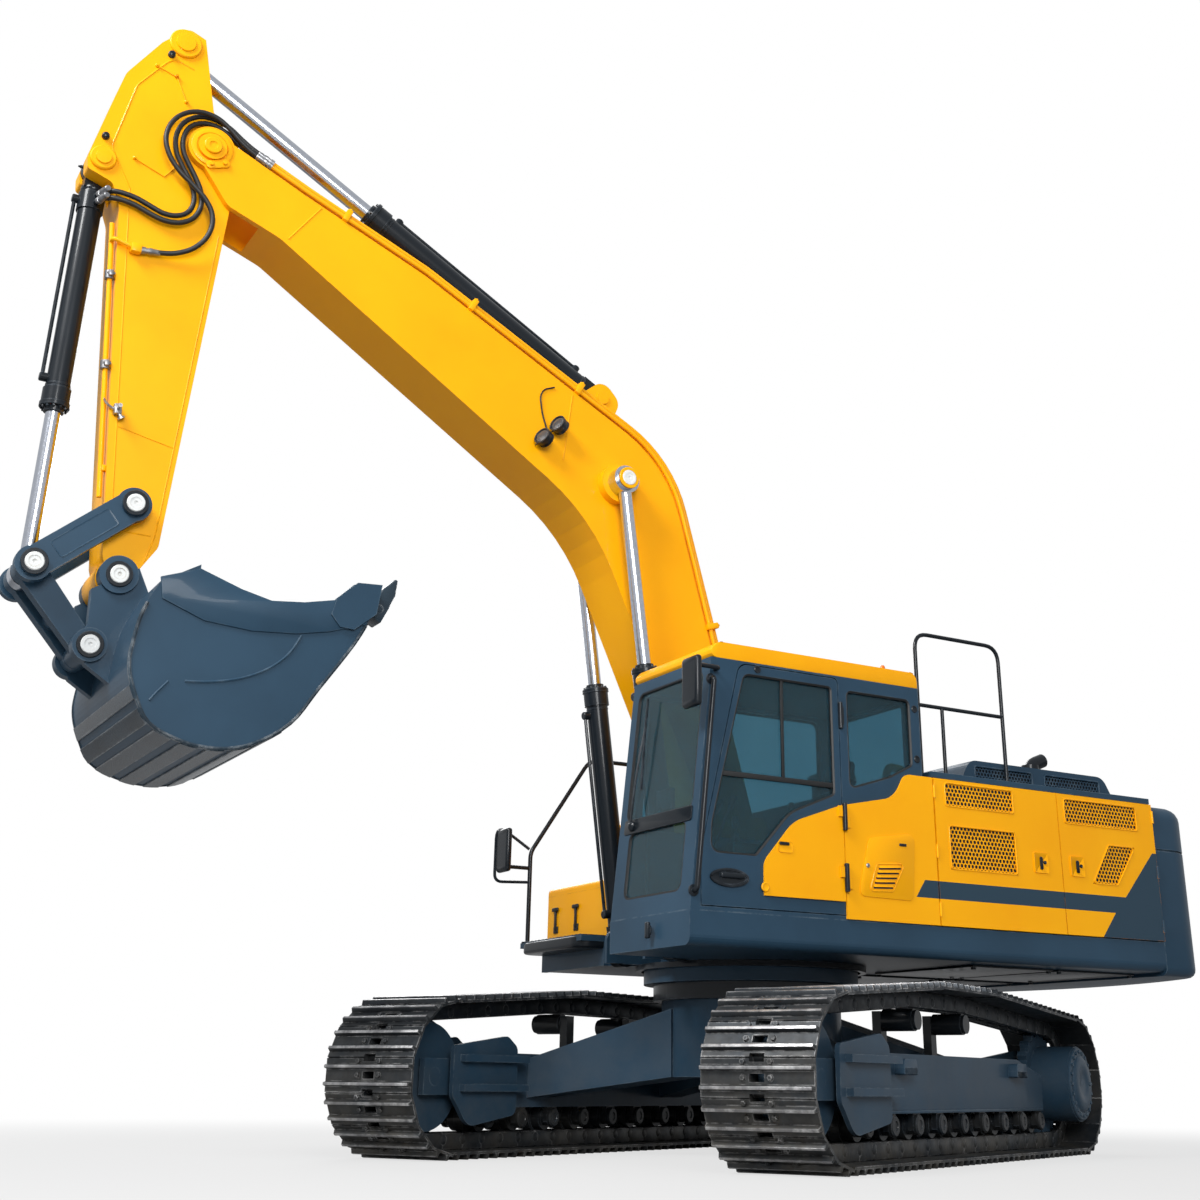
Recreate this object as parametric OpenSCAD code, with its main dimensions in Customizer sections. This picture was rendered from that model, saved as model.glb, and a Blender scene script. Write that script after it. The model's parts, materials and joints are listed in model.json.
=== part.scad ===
// Crawler excavator of the 33 t class: tracked undercarriage, slewing house with cab,
// boom, arm and bucket with their cylinders and linkage.
// Axes: +X forward along the house, +Y to the operator's left, +Z up.
// Origin: on the ground, on the slewing axis. Millimetres and degrees.

/* [Pose] */
// Turn of the undercarriage under the house
track_turn = 28; // [0:1:60]
// Boom chord above the horizon
boom_angle = 46.6; // [40:0.2:52]
// Direction of the arm below the horizon
arm_angle = -85.8; // [-90:0.2:-82]

/* [Tracks] */
// Distance between the track centre lines
track_gauge = 2740; // [2640:10:2840]
// Width of a track shoe
shoe_width = 700; // [600:10:760]
// Distance from the idler axle to the sprocket axle
tumbler_distance = 4100; // [4000:10:4200]
// Radius of the idler tread
idler_tread_r = 335; // [325:1:345]
// Number of shoes in one track
shoe_count = 54; // [50:1:58]
// Height of the grouser bars on a shoe
grouser_h = 30; // [24:1:36]
// Thickness of a shoe plate
shoe_t = 16; // [12:1:20]
// Height of the chain links, from shoe to rail
link_h = 105; // [95:1:115]
// Radius of the carrier rollers
carrier_r = 75; // [65:1:85]
// Height of the carrier axles
carrier_z = 850; // [840:1:870]
// Tread radius of the bottom rollers
roller_r = 82; // [76:1:86]
// Number of bottom rollers on one side
roller_count = 9; // [7:1:9]

/* [Undercarriage] */
// Width of a track frame beam
beam_w = 330; // [310:1:350]
// Underside of the beam's side plates
beam_z0 = 300; // [295:1:310]
// Top of the beam
beam_z1 = 640; // [620:1:660]
// Underside of the centre frame
belly_z = 500; // [480:1:520]
// Top of the centre frame, where the slewing bearing sits
bearing_z = 1000; // [980:1:1020]
// Outer radius of the slewing bearing
bearing_r = 700; // [680:1:720]
// Height of the slewing bearing
bearing_h = 110; // [100:1:120]

/* [House] */
// Half width over the dark side walls
house_half_w = 1478; // [1460:1:1500]
// Front of the deck under the cab
deck_front_x = 1430; // [1400:5:1460]
// Length of the counterweight, from its front face to the tail
weight_length = 700; // [660:5:740]
// Underside of the deck
deck_z0 = 1240; // [1230:1:1260]
// Top of the deck's side rails
deck_z1 = 1446; // [1430:1:1460]
// Top of the engine bay
bay_z1 = 2440; // [2420:1:2460]
// Back end of the cab
cab_rear_x = -460; // [-480:1:-440]
// Inner side of the cab, beside the boom
cab_inner_y = 478; // [470:1:490]
// Underside of the cab roof
cab_top_z = 3050; // [3030:1:3070]
// Thickness of the cab walls
cab_wall = 62; // [55:1:70]
// Tail radius of the counterweight
tail_r = 3350; // [3300:10:3400]

/* [Boom] */
// Distance from the boom foot pin to the boom nose pin
boom_length = 6440; // [6350:10:6500]
// Height of the boom's crown corner over the chord
boom_rise = 1590; // [1550:5:1620]
// Width of the boom's box
boom_w = 490; // [470:1:500]
// Boom foot pin, forward of the slewing axis
foot_x = 178; // [160:1:200]
// Boom foot pin, above the ground
foot_z = 1830; // [1810:1:1850]

/* [Arm] */
// Distance from the boom nose pin to the bucket pin
arm_length = 3180; // [3140:5:3220]
// Width of the arm's box
arm_w = 380; // [360:1:390]

/* [Bucket] */
// Width over the bucket's side plates
bucket_w = 1480; // [1400:10:1520]
// Distance from the bucket pin to the tooth tips
bucket_reach = 1740; // [1700:5:1780]
// Thickness of the bucket's wrapper plate
wrapper_t = 28; // [22:1:34]
// Distance from the bucket pin to the link pin
bucket_lever = 474; // [460:1:490]
// Length of the rocker links
rocker_length = 720; // [700:1:740]
// Length of the bucket link
link_length = 600; // [585:1:615]

/* [Hidden] */
$fn = 48;

yellow = "#f9b40f";
slate = "#33424d";
black = "#15191c";
steel = "#b9bec4";
glass_tint = "#3d6472";

// Overrun of every cut, clearance of pins in bores and of parts that rest on each other
cut = 5;
pin_clear = 0.05;
seat_gap = 0.3;
run_gap = 8;
weld = 4;
weight_front_x = weight_length - tail_r;

// Places in the plane of a profile are [x, z], with a corner radius third
function unit(v) = v / norm(v);
function turn(p, a) = [p[0] * cos(a) - p[1] * sin(a), p[0] * sin(a) + p[1] * cos(a)];
function polar(r, a) = [r * cos(a), r * sin(a)];
function heading(p, q) = atan2(q[1] - p[1], q[0] - p[0]);
function sum_to(list, n) = n <= 0 ? 0 : list[n - 1] + sum_to(list, n - 1);
function wrapped(a) = a < 0 ? a + 360 : a;
function moved(pts, at) = [for (p = pts) [p[0] + at[0], p[1] + at[1], p[2]]];

// Points of one corner: the corner itself, or an arc that meets both sides
arc_steps = 6;
function corner(a, b, c, r) =
  r == undef || r == 0 ? [[b[0], b[1]]] :
  let (
    p = [b[0], b[1]],
    va = unit([a[0], a[1]] - p),
    vc = unit([c[0], c[1]] - p),
    half = acos(va * vc) / 2,
    centre = p + unit(va + vc) * r / sin(half),
    first = p + va * r / tan(half),
    last = p + vc * r / tan(half),
    a0 = heading(centre, first),
    a1 = heading(centre, last),
    sweep = (a1 - a0 + 540) % 360 - 180
  )
  [for (i = [0:arc_steps]) centre + polar(r, a0 + sweep * i / arc_steps)];
function outline(pts) =
  let (n = len(pts))
  [for (i = [0:n - 1]) each corner(pts[(i + n - 1) % n], pts[i], pts[(i + 1) % n], pts[i][2])];
// Shares of a length and a height turned into places, radius shares follow the length
function placed(shares, length, height) =
  [for (s = shares) [s[0] * length, s[1] * height, s[2] == undef ? 0 : s[2] * length]];
// Line beside an open run of points, at a distance to its left
function beside(pts, d) =
  let (n = len(pts))
  [for (i = [0:n - 1])
    let (
      u0 = i > 0 ? unit(pts[i] - pts[i - 1]) : unit(pts[1] - pts[0]),
      u1 = i < n - 1 ? unit(pts[i + 1] - pts[i]) : u0,
      m = unit(u0 + u1)
    )
    pts[i] + [-m[1], m[0]] * d / (m * u0)];
// Smooth run through places
run_steps = 4;
function smooth(pts) =
  let (n = len(pts))
  concat([for (i = [0:n - 2], k = [0:run_steps - 1])
    let (
      t = k / run_steps,
      a = pts[max(i - 1, 0)],
      b = pts[i],
      c = pts[i + 1],
      d = pts[min(i + 2, n - 1)]
    )
    (2 * b + (c - a) * t + (2 * a - 5 * b + 4 * c - d) * t * t + (3 * b - a - 3 * c + d) * t * t * t) / 2],
  [pts[n - 1]]);
function reversed(list) = [for (i = [len(list) - 1:-1:0]) list[i]];
// Meeting point of two circles, on the left of the line from c0 to c1
function meet(c0, r0, c1, r1) =
  let (d = norm(c1 - c0), a = (r0 * r0 - r1 * r1 + d * d) / (2 * d), h = sqrt(r0 * r0 - a * a))
  c0 + unit(c1 - c0) * a + turn(unit(c1 - c0), 90) * h;

// A box between two corners, and profiles extruded along an axis
module block(x, y, z) {
  translate([x[0], y[0], z[0]]) cube([x[1] - x[0], y[1] - y[0], z[1] - z[0]]);
}
module along_y(pts, y) {
  translate([0, y[1], 0]) rotate([90, 0, 0]) linear_extrude(y[1] - y[0]) polygon(pts);
}
module along_x(pts, x) {
  translate([x[0], 0, 0]) rotate([90, 0, 90]) linear_extrude(x[1] - x[0]) polygon(pts);
}
module along_z(pts, z) {
  translate([0, 0, z[0]]) linear_extrude(z[1] - z[0]) polygon(pts);
}
module round_y(p, r, y) {
  translate([p[0], y[1], p[1]]) rotate([90, 0, 0]) cylinder(r = r, h = y[1] - y[0]);
}
module both_sides() {
  children();
  mirror([0, 1, 0]) children();
}
function span(centre, width) = [centre - width / 2, centre + width / 2];

// Round bar through a list of places, with a slightly larger ball at each bend
ball_share = 1.06;
module bar(places, r) {
  for (i = [0:len(places) - 2]) {
    d = places[i + 1] - places[i];
    translate(places[i])
      rotate([0, acos(d[2] / norm(d)), atan2(d[1], d[0])]) cylinder(r = r, h = norm(d));
    if (i > 0) translate(places[i]) sphere(r = r * ball_share);
  }
}

// Bent tube in a plane beside the middle: a profile strip turned into a many-sided tube
tube_sides = 10;
module skin(rings) {
  n = len(rings);
  walls = [for (i = [0:n - 2], k = [0:tube_sides - 1])
    let (m = (k + 1) % tube_sides)
    [i * tube_sides + k, i * tube_sides + m, (i + 1) * tube_sides + m, (i + 1) * tube_sides + k]];
  ends = [[for (k = [tube_sides - 1:-1:0]) k], [for (k = [0:tube_sides - 1]) (n - 1) * tube_sides + k]];
  polyhedron([for (ring = rings) each ring], concat(walls, ends));
}
module tube_y(run, y, r) {
  inner = [for (k = [0:tube_sides - 1]) beside(run, r * cos(360 * k / tube_sides))];
  skin([for (i = [0:len(run) - 1])
    [for (k = [0:tube_sides - 1]) [inner[k][i][0], y + r * sin(360 * k / tube_sides), inner[k][i][1]]]]);
}
// Tube along places in space, each ring square to the run
function ring_at(places, i, r) =
  let (
    t = unit(places[min(i + 1, len(places) - 1)] - places[max(i - 1, 0)]),
    s = unit(cross(t, [0, 1, 0])),
    u = cross(s, t)
  )
  [for (k = [0:tube_sides - 1])
    places[i] + r * (s * cos(360 * k / tube_sides) + u * sin(360 * k / tube_sides))];
module hose(places, r) { skin([for (i = [0:len(places) - 1]) ring_at(places, i, r)]); }
// Open run through corners with rounded bends
function bends(pts) =
  let (n = len(pts))
  concat([[pts[0][0], pts[0][1]]], [for (i = [1:n - 2]) each corner(pts[i - 1], pts[i], pts[i + 1],
    pts[i][2])],
    [[pts[n - 1][0], pts[n - 1][1]]]);

// Tracks: the belt line is the outer face of the shoe plates
track_y = track_gauge / 2;
plate_r = idler_tread_r + link_h + shoe_t;
tread_z = grouser_h + plate_r;
idler_x = tumbler_distance / 2;
sprocket_x = -tumbler_distance / 2;
carrier_x_shares = [0.13, -0.075];
carrier_x = [for (s = carrier_x_shares) s * tumbler_distance];
carrier_plate_r = carrier_r + link_h + shoe_t;
belt = [
  [sprocket_x, tread_z, plate_r],
  [idler_x, tread_z, plate_r],
  [carrier_x[0], carrier_z, carrier_plate_r],
  [carrier_x[1], carrier_z, carrier_plate_r]
];
belt_n = len(belt);
belt_turn = [for (i = [0:belt_n - 1])
  let (a = belt[i], b = belt[(i + 1) % belt_n], d = norm([b[0] - a[0], b[1] - a[1]]))
  wrapped(heading(a, b)) + asin((a[2] - b[2]) / d)];
belt_line = [for (i = [0:belt_n - 1])
  let (a = belt[i], b = belt[(i + 1) % belt_n], d = norm([b[0] - a[0], b[1] - a[1]]))
  sqrt(d * d - pow(a[2] - b[2], 2))];
belt_sweep = [for (i = [0:belt_n - 1])
  wrapped(belt_turn[(i + 1) % belt_n] - belt_turn[i])];
belt_arc = [for (i = [0:belt_n - 1]) belt[(i + 1) % belt_n][2] * belt_sweep[i] * PI / 180];
belt_step = [for (i = [0:belt_n - 1]) belt_line[i] + belt_arc[i]];
belt_length = sum_to(belt_step, belt_n);
shoe_pitch = belt_length / shoe_count;
// Place, heading along the belt at a distance from the start
function belt_at(s, i = 0) =
  s > belt_step[i] && i < belt_n - 1 ? belt_at(s - belt_step[i], i + 1) :
  let (a = belt[i], b = belt[(i + 1) % belt_n], t = belt_turn[i])
  s <= belt_line[i] ?
    [[a[0], a[1]] + polar(a[2], t - 90) + polar(s, t), t] :
    let (t2 = t + (s - belt_line[i]) / b[2] * 180 / PI) [[b[0], b[1]] + polar(b[2], t2 - 90), t2];
function belt_place(s, out) = let (q = belt_at(s)) q[0] + polar(out, q[1] - 90);

// Two bars on each shoe, in shares of the pitch
bar_at_shares = [0.25, 0.75];
bar_foot_share = 0.15;
bar_tip_share = 0.09;
shoe_edge = [for (n = [0:shoe_count - 1], b = bar_at_shares)
  each [
    belt_place((n + b - bar_foot_share / 2) * shoe_pitch, 0),
    belt_place((n + b - bar_tip_share / 2) * shoe_pitch, grouser_h),
    belt_place((n + b + bar_tip_share / 2) * shoe_pitch, grouser_h),
    belt_place((n + b + bar_foot_share / 2) * shoe_pitch, 0)
  ]];
function belt_ring(out) = [for (n = [0:shoe_count - 1]) belt_place(n * shoe_pitch, out)];
chain_row_w = 62;
chain_gap = 86;
chain_w = chain_gap + 2 * chain_row_w;

module ring_y(outer, inner, y) {
  translate([0, y[1], 0]) rotate([90, 0, 0])
    linear_extrude(y[1] - y[0]) difference() { polygon(outer); polygon(inner); }
}
module track() {
  color(black) union() {
    ring_y(shoe_edge, belt_ring(-shoe_t), span(track_y, shoe_width));
    for (side = [-1, 1])
      ring_y(belt_ring(weld - shoe_t), belt_ring(-shoe_t - link_h),
        span(track_y + side * (chain_gap + chain_row_w) / 2, chain_row_w));
  }
}

// Everything below the slewing bearing stands turned under the house
module under() { rotate([0, 0, track_turn]) children(); }

// The chain lies on the wheels as straight links, so the wheels stand inside their corners
half_link = shoe_pitch / plate_r * 90 / PI;
idler_r = idler_tread_r * cos(half_link) - seat_gap;
chain_slack = 7;
idler_guide_h = 22;
idler_guide_w = chain_gap - 2 * run_gap;
axle_r = 55;
yoke_gap = 20;
yoke_t = 40;
module idler() {
  round_y([idler_x, tread_z], idler_r, span(track_y, chain_w));
  round_y([idler_x, tread_z], idler_tread_r + idler_guide_h, span(track_y, idler_guide_w));
  round_y([idler_x, tread_z], axle_r, span(track_y, chain_w + 2 * (yoke_gap + yoke_t)));
}
module idlers() { color(slate) under() both_sides() idler(); }

sprocket_teeth = 21;
tooth_h = 34;
tooth_w = chain_gap - 2 * run_gap;
tooth_root_share = 0.62;
tooth_tip_share = 0.3;
drive_r = 262;
drive_cover_r = 215;
drive_out = 320;
drive_cover_t = 22;
motor_r = 180;
motor_in = 300;
tooth_edge = [for (n = [0:sprocket_teeth - 1], s = [-1, 1])
  each s < 0 ?
    [polar(idler_tread_r - seat_gap, (n - tooth_root_share / 2) * 360 / sprocket_teeth),
     polar(idler_tread_r + tooth_h, (n - tooth_tip_share / 2) * 360 / sprocket_teeth)] :
    [polar(idler_tread_r + tooth_h, (n + tooth_tip_share / 2) * 360 / sprocket_teeth),
     polar(idler_tread_r - seat_gap, (n + tooth_root_share / 2) * 360 / sprocket_teeth)]];
module sprocket() {
  at = [sprocket_x, tread_z];
  along_y([for (p = tooth_edge) p + at], span(track_y, tooth_w));
  round_y(at, drive_r, [track_y - tooth_w / 2, track_y + drive_out]);
  round_y(at, drive_cover_r, [track_y + drive_out - weld, track_y + drive_out + drive_cover_t]);
  round_y(at, motor_r, [track_y - motor_in, track_y]);
}
module sprockets() { color(slate) under() both_sides() sprocket(); }

// Bottom rollers hang under the beam's side plates by their end collars
rail_z = grouser_h + shoe_t + link_h;
roller_z = rail_z + roller_r + seat_gap;
roller_flange_h = 20;
roller_flange_w = 34;
collar_w = 36;
collar_h_share = 0.55;
roller_span_shares = [-0.375, 0.36];
roller_x = [for (n = [0:roller_count - 1])
  (roller_span_shares[0] + (roller_span_shares[1] - roller_span_shares[0]) * n / (roller_count - 1))
    * tumbler_distance];
module roller(x) {
  at = [x, roller_z];
  round_y(at, roller_r, span(track_y, chain_w));
  round_y(at, roller_r + roller_flange_h, span(track_y, chain_gap - 2 * run_gap));
  round_y(at, axle_r, span(track_y, beam_w));
  for (side = [-1, 1])
    block(span(x, 2 * axle_r), span(track_y + side * (beam_w - collar_w) / 2, collar_w),
      [roller_z - axle_r * collar_h_share, beam_z0]);
}
module track_rollers() { color(black) under() both_sides() for (x = roller_x) roller(x); }

carrier_post_w = 90;
carrier_post_t = 60;
carrier_cap_t = 24;
carrier_cap_share = 0.8;
module carrier(x) {
  at = [x, carrier_z];
  inner = track_y - chain_w / 2;
  round_y(at, carrier_r - chain_slack, span(track_y, chain_w));
  round_y(at, carrier_r * carrier_cap_share, [track_y, track_y + chain_w / 2 + carrier_cap_t]);
  round_y(at, axle_r * carrier_cap_share, [inner - run_gap - carrier_post_t, track_y]);
  block(span(x, carrier_post_w), [inner - run_gap - carrier_post_t, inner - run_gap],
    [beam_z1, carrier_z + axle_r]);
}
module carrier_rollers() { color(black) under() both_sides() for (x = carrier_x) carrier(x); }

// Track frame: an inverted channel with the idler yoke in front and the drive bracket behind
beam_t = 24;
beam_x_shares = [-0.404, 0.33];
beam_x = [for (s = beam_x_shares) s * tumbler_distance];
beam_slope_share = 0.7;
guard_t = 30;
guard_x_shares = [0.305, 0.475];
guard_x = [for (s = guard_x_shares) s * tumbler_distance];
guard_z = [185, 745];
guard_out = 205;
step_count = 2;
step_d = 46;
step_h = 44;
step_z_shares = [0.42, 0.74];
step_x_shares = [-0.12, 0.9];
seat_r = motor_r + pin_clear;
bracket_r = 235;
module track_frame() {
  inner_y = track_y - beam_w / 2;
  outer_y = track_y + beam_w / 2;
  yoke_y = chain_w / 2 + yoke_gap;
  color(slate) union() {
    difference() {
      along_y(outline([
        [beam_x[0], beam_z0], [beam_x[1], beam_z0], [beam_x[1], beam_z1],
        [beam_x[0] * beam_slope_share, beam_z1], [beam_x[0],
          beam_z0 + (beam_z1 - beam_z0) * beam_slope_share]
      ]), [inner_y, outer_y]);
      block([beam_x[0] - cut, beam_x[1] + cut], [inner_y + beam_t, outer_y - beam_t],
        [beam_z0 - cut, roller_z + roller_r + roller_flange_h + run_gap]);
    }
    // Idler yoke: two plates that carry the axle
    difference() {
      for (side = [-1, 1])
        block([beam_x[1] - weld, idler_x + 2 * axle_r],
          span(track_y + side * (yoke_y + yoke_t / 2), yoke_t),
          [tread_z - 2 * axle_r, tread_z + 2 * axle_r]);
      round_y([idler_x, tread_z], axle_r + pin_clear, span(track_y, shoe_width));
    }
    // Smooth guards beside the idler, each with two step bars
    for (side = [-1, 1]) {
      y = side > 0 ? [track_y + guard_out, track_y + guard_out + guard_t]
                   : [track_y - guard_out - guard_t, track_y - guard_out];
      y_in = side > 0 ? [outer_y - weld, track_y + guard_out + weld]
                      : [track_y - guard_out - weld, inner_y + weld];
      y_out = side > 0 ? [y[1] - weld, y[1] + step_d] : [y[0] - step_d, y[0] + weld];
      guard_l = guard_x[1] - guard_x[0];
      guard_h = guard_z[1] - guard_z[0];
      along_y(outline([
        [guard_x[0], guard_z[0] + guard_h / 8, guard_h / 10],
        [guard_x[1] - guard_l / 4, guard_z[0], guard_h / 4],
        [guard_x[1], guard_z[0] + guard_h / 3, guard_h / 8],
        [guard_x[1], guard_z[1] - guard_h / 8, guard_h / 16],
        [guard_x[0] + guard_l / 6, guard_z[1], guard_h / 8],
        [guard_x[0], guard_z[1] - guard_h / 8, guard_h / 10]
      ]), y);
      block([guard_x[0], beam_x[1]], y_in, [beam_z0 + beam_t, beam_z1 - beam_t]);
      for (s = step_z_shares)
        block([guard_x[0] + guard_l * step_x_shares[0], guard_x[0] + guard_l * step_x_shares[1]], y_out,
          [guard_z[0] + guard_h * s - step_h / 2, guard_z[0] + guard_h * s + step_h / 2]);
    }
    // Drive bracket: a plate with an eye around the travel motor
    difference() {
      union() {
        along_y([
          [beam_x[0] + weld, beam_z0], [sprocket_x, tread_z - bracket_r],
          [sprocket_x, tread_z + bracket_r], [beam_x[0] * beam_slope_share, beam_z1]
        ], [inner_y, inner_y + beam_t]);
        round_y([sprocket_x, tread_z], bracket_r, [inner_y, inner_y + beam_t]);
      }
      round_y([sprocket_x, tread_z], seat_r, [inner_y - cut, inner_y + beam_t + cut]);
    }
  }
}

// Centre frame with four legs to the track frames
tub_r = 640;
leg_x_shares = [0.09, 0.215];
leg_x = [for (s = leg_x_shares) s * tumbler_distance];
leg_w = 420;
leg_foot_share = 0.75;
leg_drop = 60;
leg_rise = 60;
leg_sink = 30;
leg_root_z = [belly_z, bearing_z - leg_drop];
leg_foot_z = [beam_z0 + leg_rise, beam_z1 - leg_sink];
module leg() {
  root_y = tub_r / 2;
  foot_y = track_y - beam_w / 2;
  hull() {
    block(span(leg_x[0], leg_w), [root_y, root_y + weld], leg_root_z);
    block(span(leg_x[1], leg_w * leg_foot_share), [foot_y - 2 * weld, foot_y - weld], leg_foot_z);
  }
  block(span(leg_x[1], leg_w * leg_foot_share), [foot_y - weld - weld, foot_y], leg_foot_z);
}
module carbody() {
  color(slate) under() union() {
    translate([0, 0, belly_z]) cylinder(r = tub_r, h = bearing_z - belly_z);
    for (side = [0, 1], end = [0, 1]) mirror([0, side, 0]) mirror([end, 0, 0]) leg();
  }
}
bearing_bore_r = 520;
module slewing_bearing() {
  color(black) translate([0, 0, bearing_z + seat_gap]) difference() {
    cylinder(r = bearing_r, h = bearing_h);
    translate([0, 0, -cut]) cylinder(r = bearing_bore_r, h = bearing_h + 2 * cut);
  }
}

// House deck with its side rails, boom cheeks and slewing ring
race_r = 770;
race_z = bearing_z + bearing_h + 2 * seat_gap;
rail_w = 130;
rail_round = 60;
deck_t = 60;
cheek_gap = 14;
cheek_t = 34;
cheek_y = [(boom_w + cheek_gap) / 2, (boom_w + cheek_gap) / 2 + cheek_t];
cheek_r = 190;
foot_pin_r = 55;
ram_x = 858;
ram_z = 1330;
ram_pin_r = 45;
ram_r = 80;
ram_y = 372;
ram_eye_w = 104;
ram_cap_t = 14;
ram_eye_r = 105;
cheek_rear_x = -510;
right_front_x = 900;
well_x = 600;
foot = [foot_x, foot_z];
ram = [ram_x, ram_z];
cheek = outline([
  [cheek_rear_x, deck_z0 + deck_t], [ram_x + cheek_r, deck_z0],
  [ram_x + cheek_r, ram_z + cheek_r * 0.6, cheek_r * 0.4], [ram_x, ram_z + cheek_r, cheek_r * 0.3],
  [foot_x + cheek_r * 2, foot_z - cheek_r * 1.2, cheek_r],
  [foot_x + cheek_r, foot_z + cheek_r, cheek_r * 0.8],
  [foot_x - cheek_r, foot_z + cheek_r, cheek_r * 0.8], [cheek_rear_x, deck_z1, cheek_r * 0.8]
]);
module upper_frame() {
  color(slate) union() {
    difference() {
      union() {
        // Slewing ring and deck plate
        translate([0, 0, race_z]) cylinder(r = race_r, h = deck_z0 - race_z + weld);
        block([weight_front_x, right_front_x], [-house_half_w + rail_w / 2, house_half_w - rail_w / 2],
          [deck_z0, deck_z0 + deck_t]);
        block([right_front_x - weld, deck_front_x - rail_round], [cab_inner_y, house_half_w - rail_w / 2],
          [deck_z0, deck_z0 + deck_t]);
        // Side rails with a rounded lower edge
        for (side = [0, 1]) mirror([0, side, 0])
          along_x(outline([
            [house_half_w - rail_w, deck_z0], [house_half_w, deck_z0, rail_round],
            [house_half_w, deck_z1], [house_half_w - rail_w, deck_z1]
          ]), [weight_front_x, side > 0 ? right_front_x : deck_front_x]);
        // Cross rail under the cab's front
        block([deck_front_x - rail_w, deck_front_x], [cab_inner_y, house_half_w - rail_w / 2],
          [deck_z0, deck_z1]);
        both_sides() along_y(cheek, cheek_y);
      }
      round_y(foot, foot_pin_r + pin_clear, [-house_half_w, house_half_w]);
      // Open well under the lowered boom
      block([well_x, right_front_x + cut], span(0, 2 * cheek_y[0]), [deck_z0 - cut, deck_z1]);
      // Wells round the feet of the boom cylinders
      both_sides()
        block([ram_x - ram_eye_r - run_gap, right_front_x + cut],
          [cheek_y[1], ram_y + ram_eye_w / 2 + ram_cap_t + run_gap], [deck_z0 - cut, deck_z1]);
    }
    // Stub pins of the boom cylinders
    both_sides() {
      round_y(ram, ram_pin_r, [cheek_y[1] - weld, ram_y + ram_eye_w / 2 + ram_cap_t + seat_gap]);
      round_y(ram, ram_pin_r * 1.35, [ram_y + ram_eye_w / 2 + seat_gap,
        ram_y + ram_eye_w / 2 + ram_cap_t + seat_gap]);
    }
  }
}

// Counterweight: its back follows the tail radius
weight_z = [1215, bay_z1];
weight_corner_r = 330;
weight_seam_z = 2108;
weight_seam = 14;
module weight_form(inset) {
  wide = house_half_w - inset;
  intersection() {
    along_z(outline([
      [weight_front_x, -wide], [weight_front_x, wide],
      [inset - tail_r, wide, weight_corner_r], [inset - tail_r, -wide, weight_corner_r]
    ]), weight_z);
    translate([0, 0, weight_z[0] - cut])
      cylinder(r = tail_r - inset, h = weight_z[1] - weight_z[0] + 2 * cut, $fn = 96);
    along_y(outline([
      [weight_front_x + cut, weight_z[0]], [weight_front_x + cut, weight_z[1]],
      [inset - tail_r, weight_z[1], weight_corner_r], [inset - tail_r, weight_z[0], weight_corner_r / 4]
    ]), [-tail_r, tail_r]);
  }
}
module counterweight() {
  color(slate) difference() {
    weight_form(0);
    difference() {
      block([-tail_r - cut, weight_front_x + cut], [-tail_r, tail_r], span(weight_seam_z, weight_seam));
      weight_form(weight_seam);
    }
  }
}

// Engine bay: bulkhead behind the cab, posts between the side doors, rails under the hood
bay_front_x = -540;
bay_mid_x = -1684;
skin_t = 14;
door_t = 40;
bulkhead_t = 30;
post_w = 70;
bay_rail_w = 60;
bay_floor_z = deck_z0 + deck_t;
bay_foot_z = deck_z1;
bay_in_y = house_half_w - door_t;
module engine_bay_frame() {
  color(slate) union() {
    block([bay_front_x - bulkhead_t, bay_front_x], [-bay_in_y, bay_in_y], [bay_foot_z, bay_z1]);
    both_sides() {
      block(span(bay_mid_x, post_w), [bay_in_y - bay_rail_w, bay_in_y], [bay_foot_z, bay_z1]);
      block([weight_front_x, bay_front_x - weld], [bay_in_y - bay_rail_w, bay_in_y],
        [bay_z1 - bay_rail_w, bay_z1]);
      block([weight_front_x, weight_front_x + post_w], [bay_in_y - bay_rail_w, bay_in_y],
        [bay_foot_z, bay_z1]);
    }
  }
}
engine_x = [-2350, -1250];
engine_y = [-480, 480];
engine_z = [bay_floor_z, 2180];
module engine() { color(black) block(engine_x, engine_y, engine_z); }

// Hood: a flat cover with a raised middle that has grilles on its sides
hood_t = 40;
hood_rise = 190;
hood_x = [-2600, -1050];
hood_y = [-1180, 1180];
hood_slope = 110;
hood_gap = 6;
hood_wall = 30;
grille_x_shares = [[0.1, 0.46], [0.54, 0.9]];
grille_z_shares = [0.22, 0.8];
deck_lap = 50;
hood_knuckle_r = 12;
hood_knuckle_w = 120;
hood_knuckle_share = 0.7;
module bay_deck() {
  color(slate) difference() {
    block([weight_front_x + hood_gap, bay_front_x], [-house_half_w, house_half_w],
      [bay_z1, bay_z1 + hood_t]);
    block([hood_x[0] + deck_lap, hood_x[1] - deck_lap], [hood_y[0] + deck_lap, hood_y[1] - deck_lap],
      [bay_z1 - cut, bay_z1 + hood_t + cut]);
  }
}
function hood_profile(z0, z1, d) = outline([
  [hood_x[0] + d, z0], [hood_x[1] - d, z0],
  [hood_x[1] - hood_slope - d / 2, z1 - d, hood_slope], [hood_x[0] + hood_slope + d / 2, z1 - d, hood_slope]
]);
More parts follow.
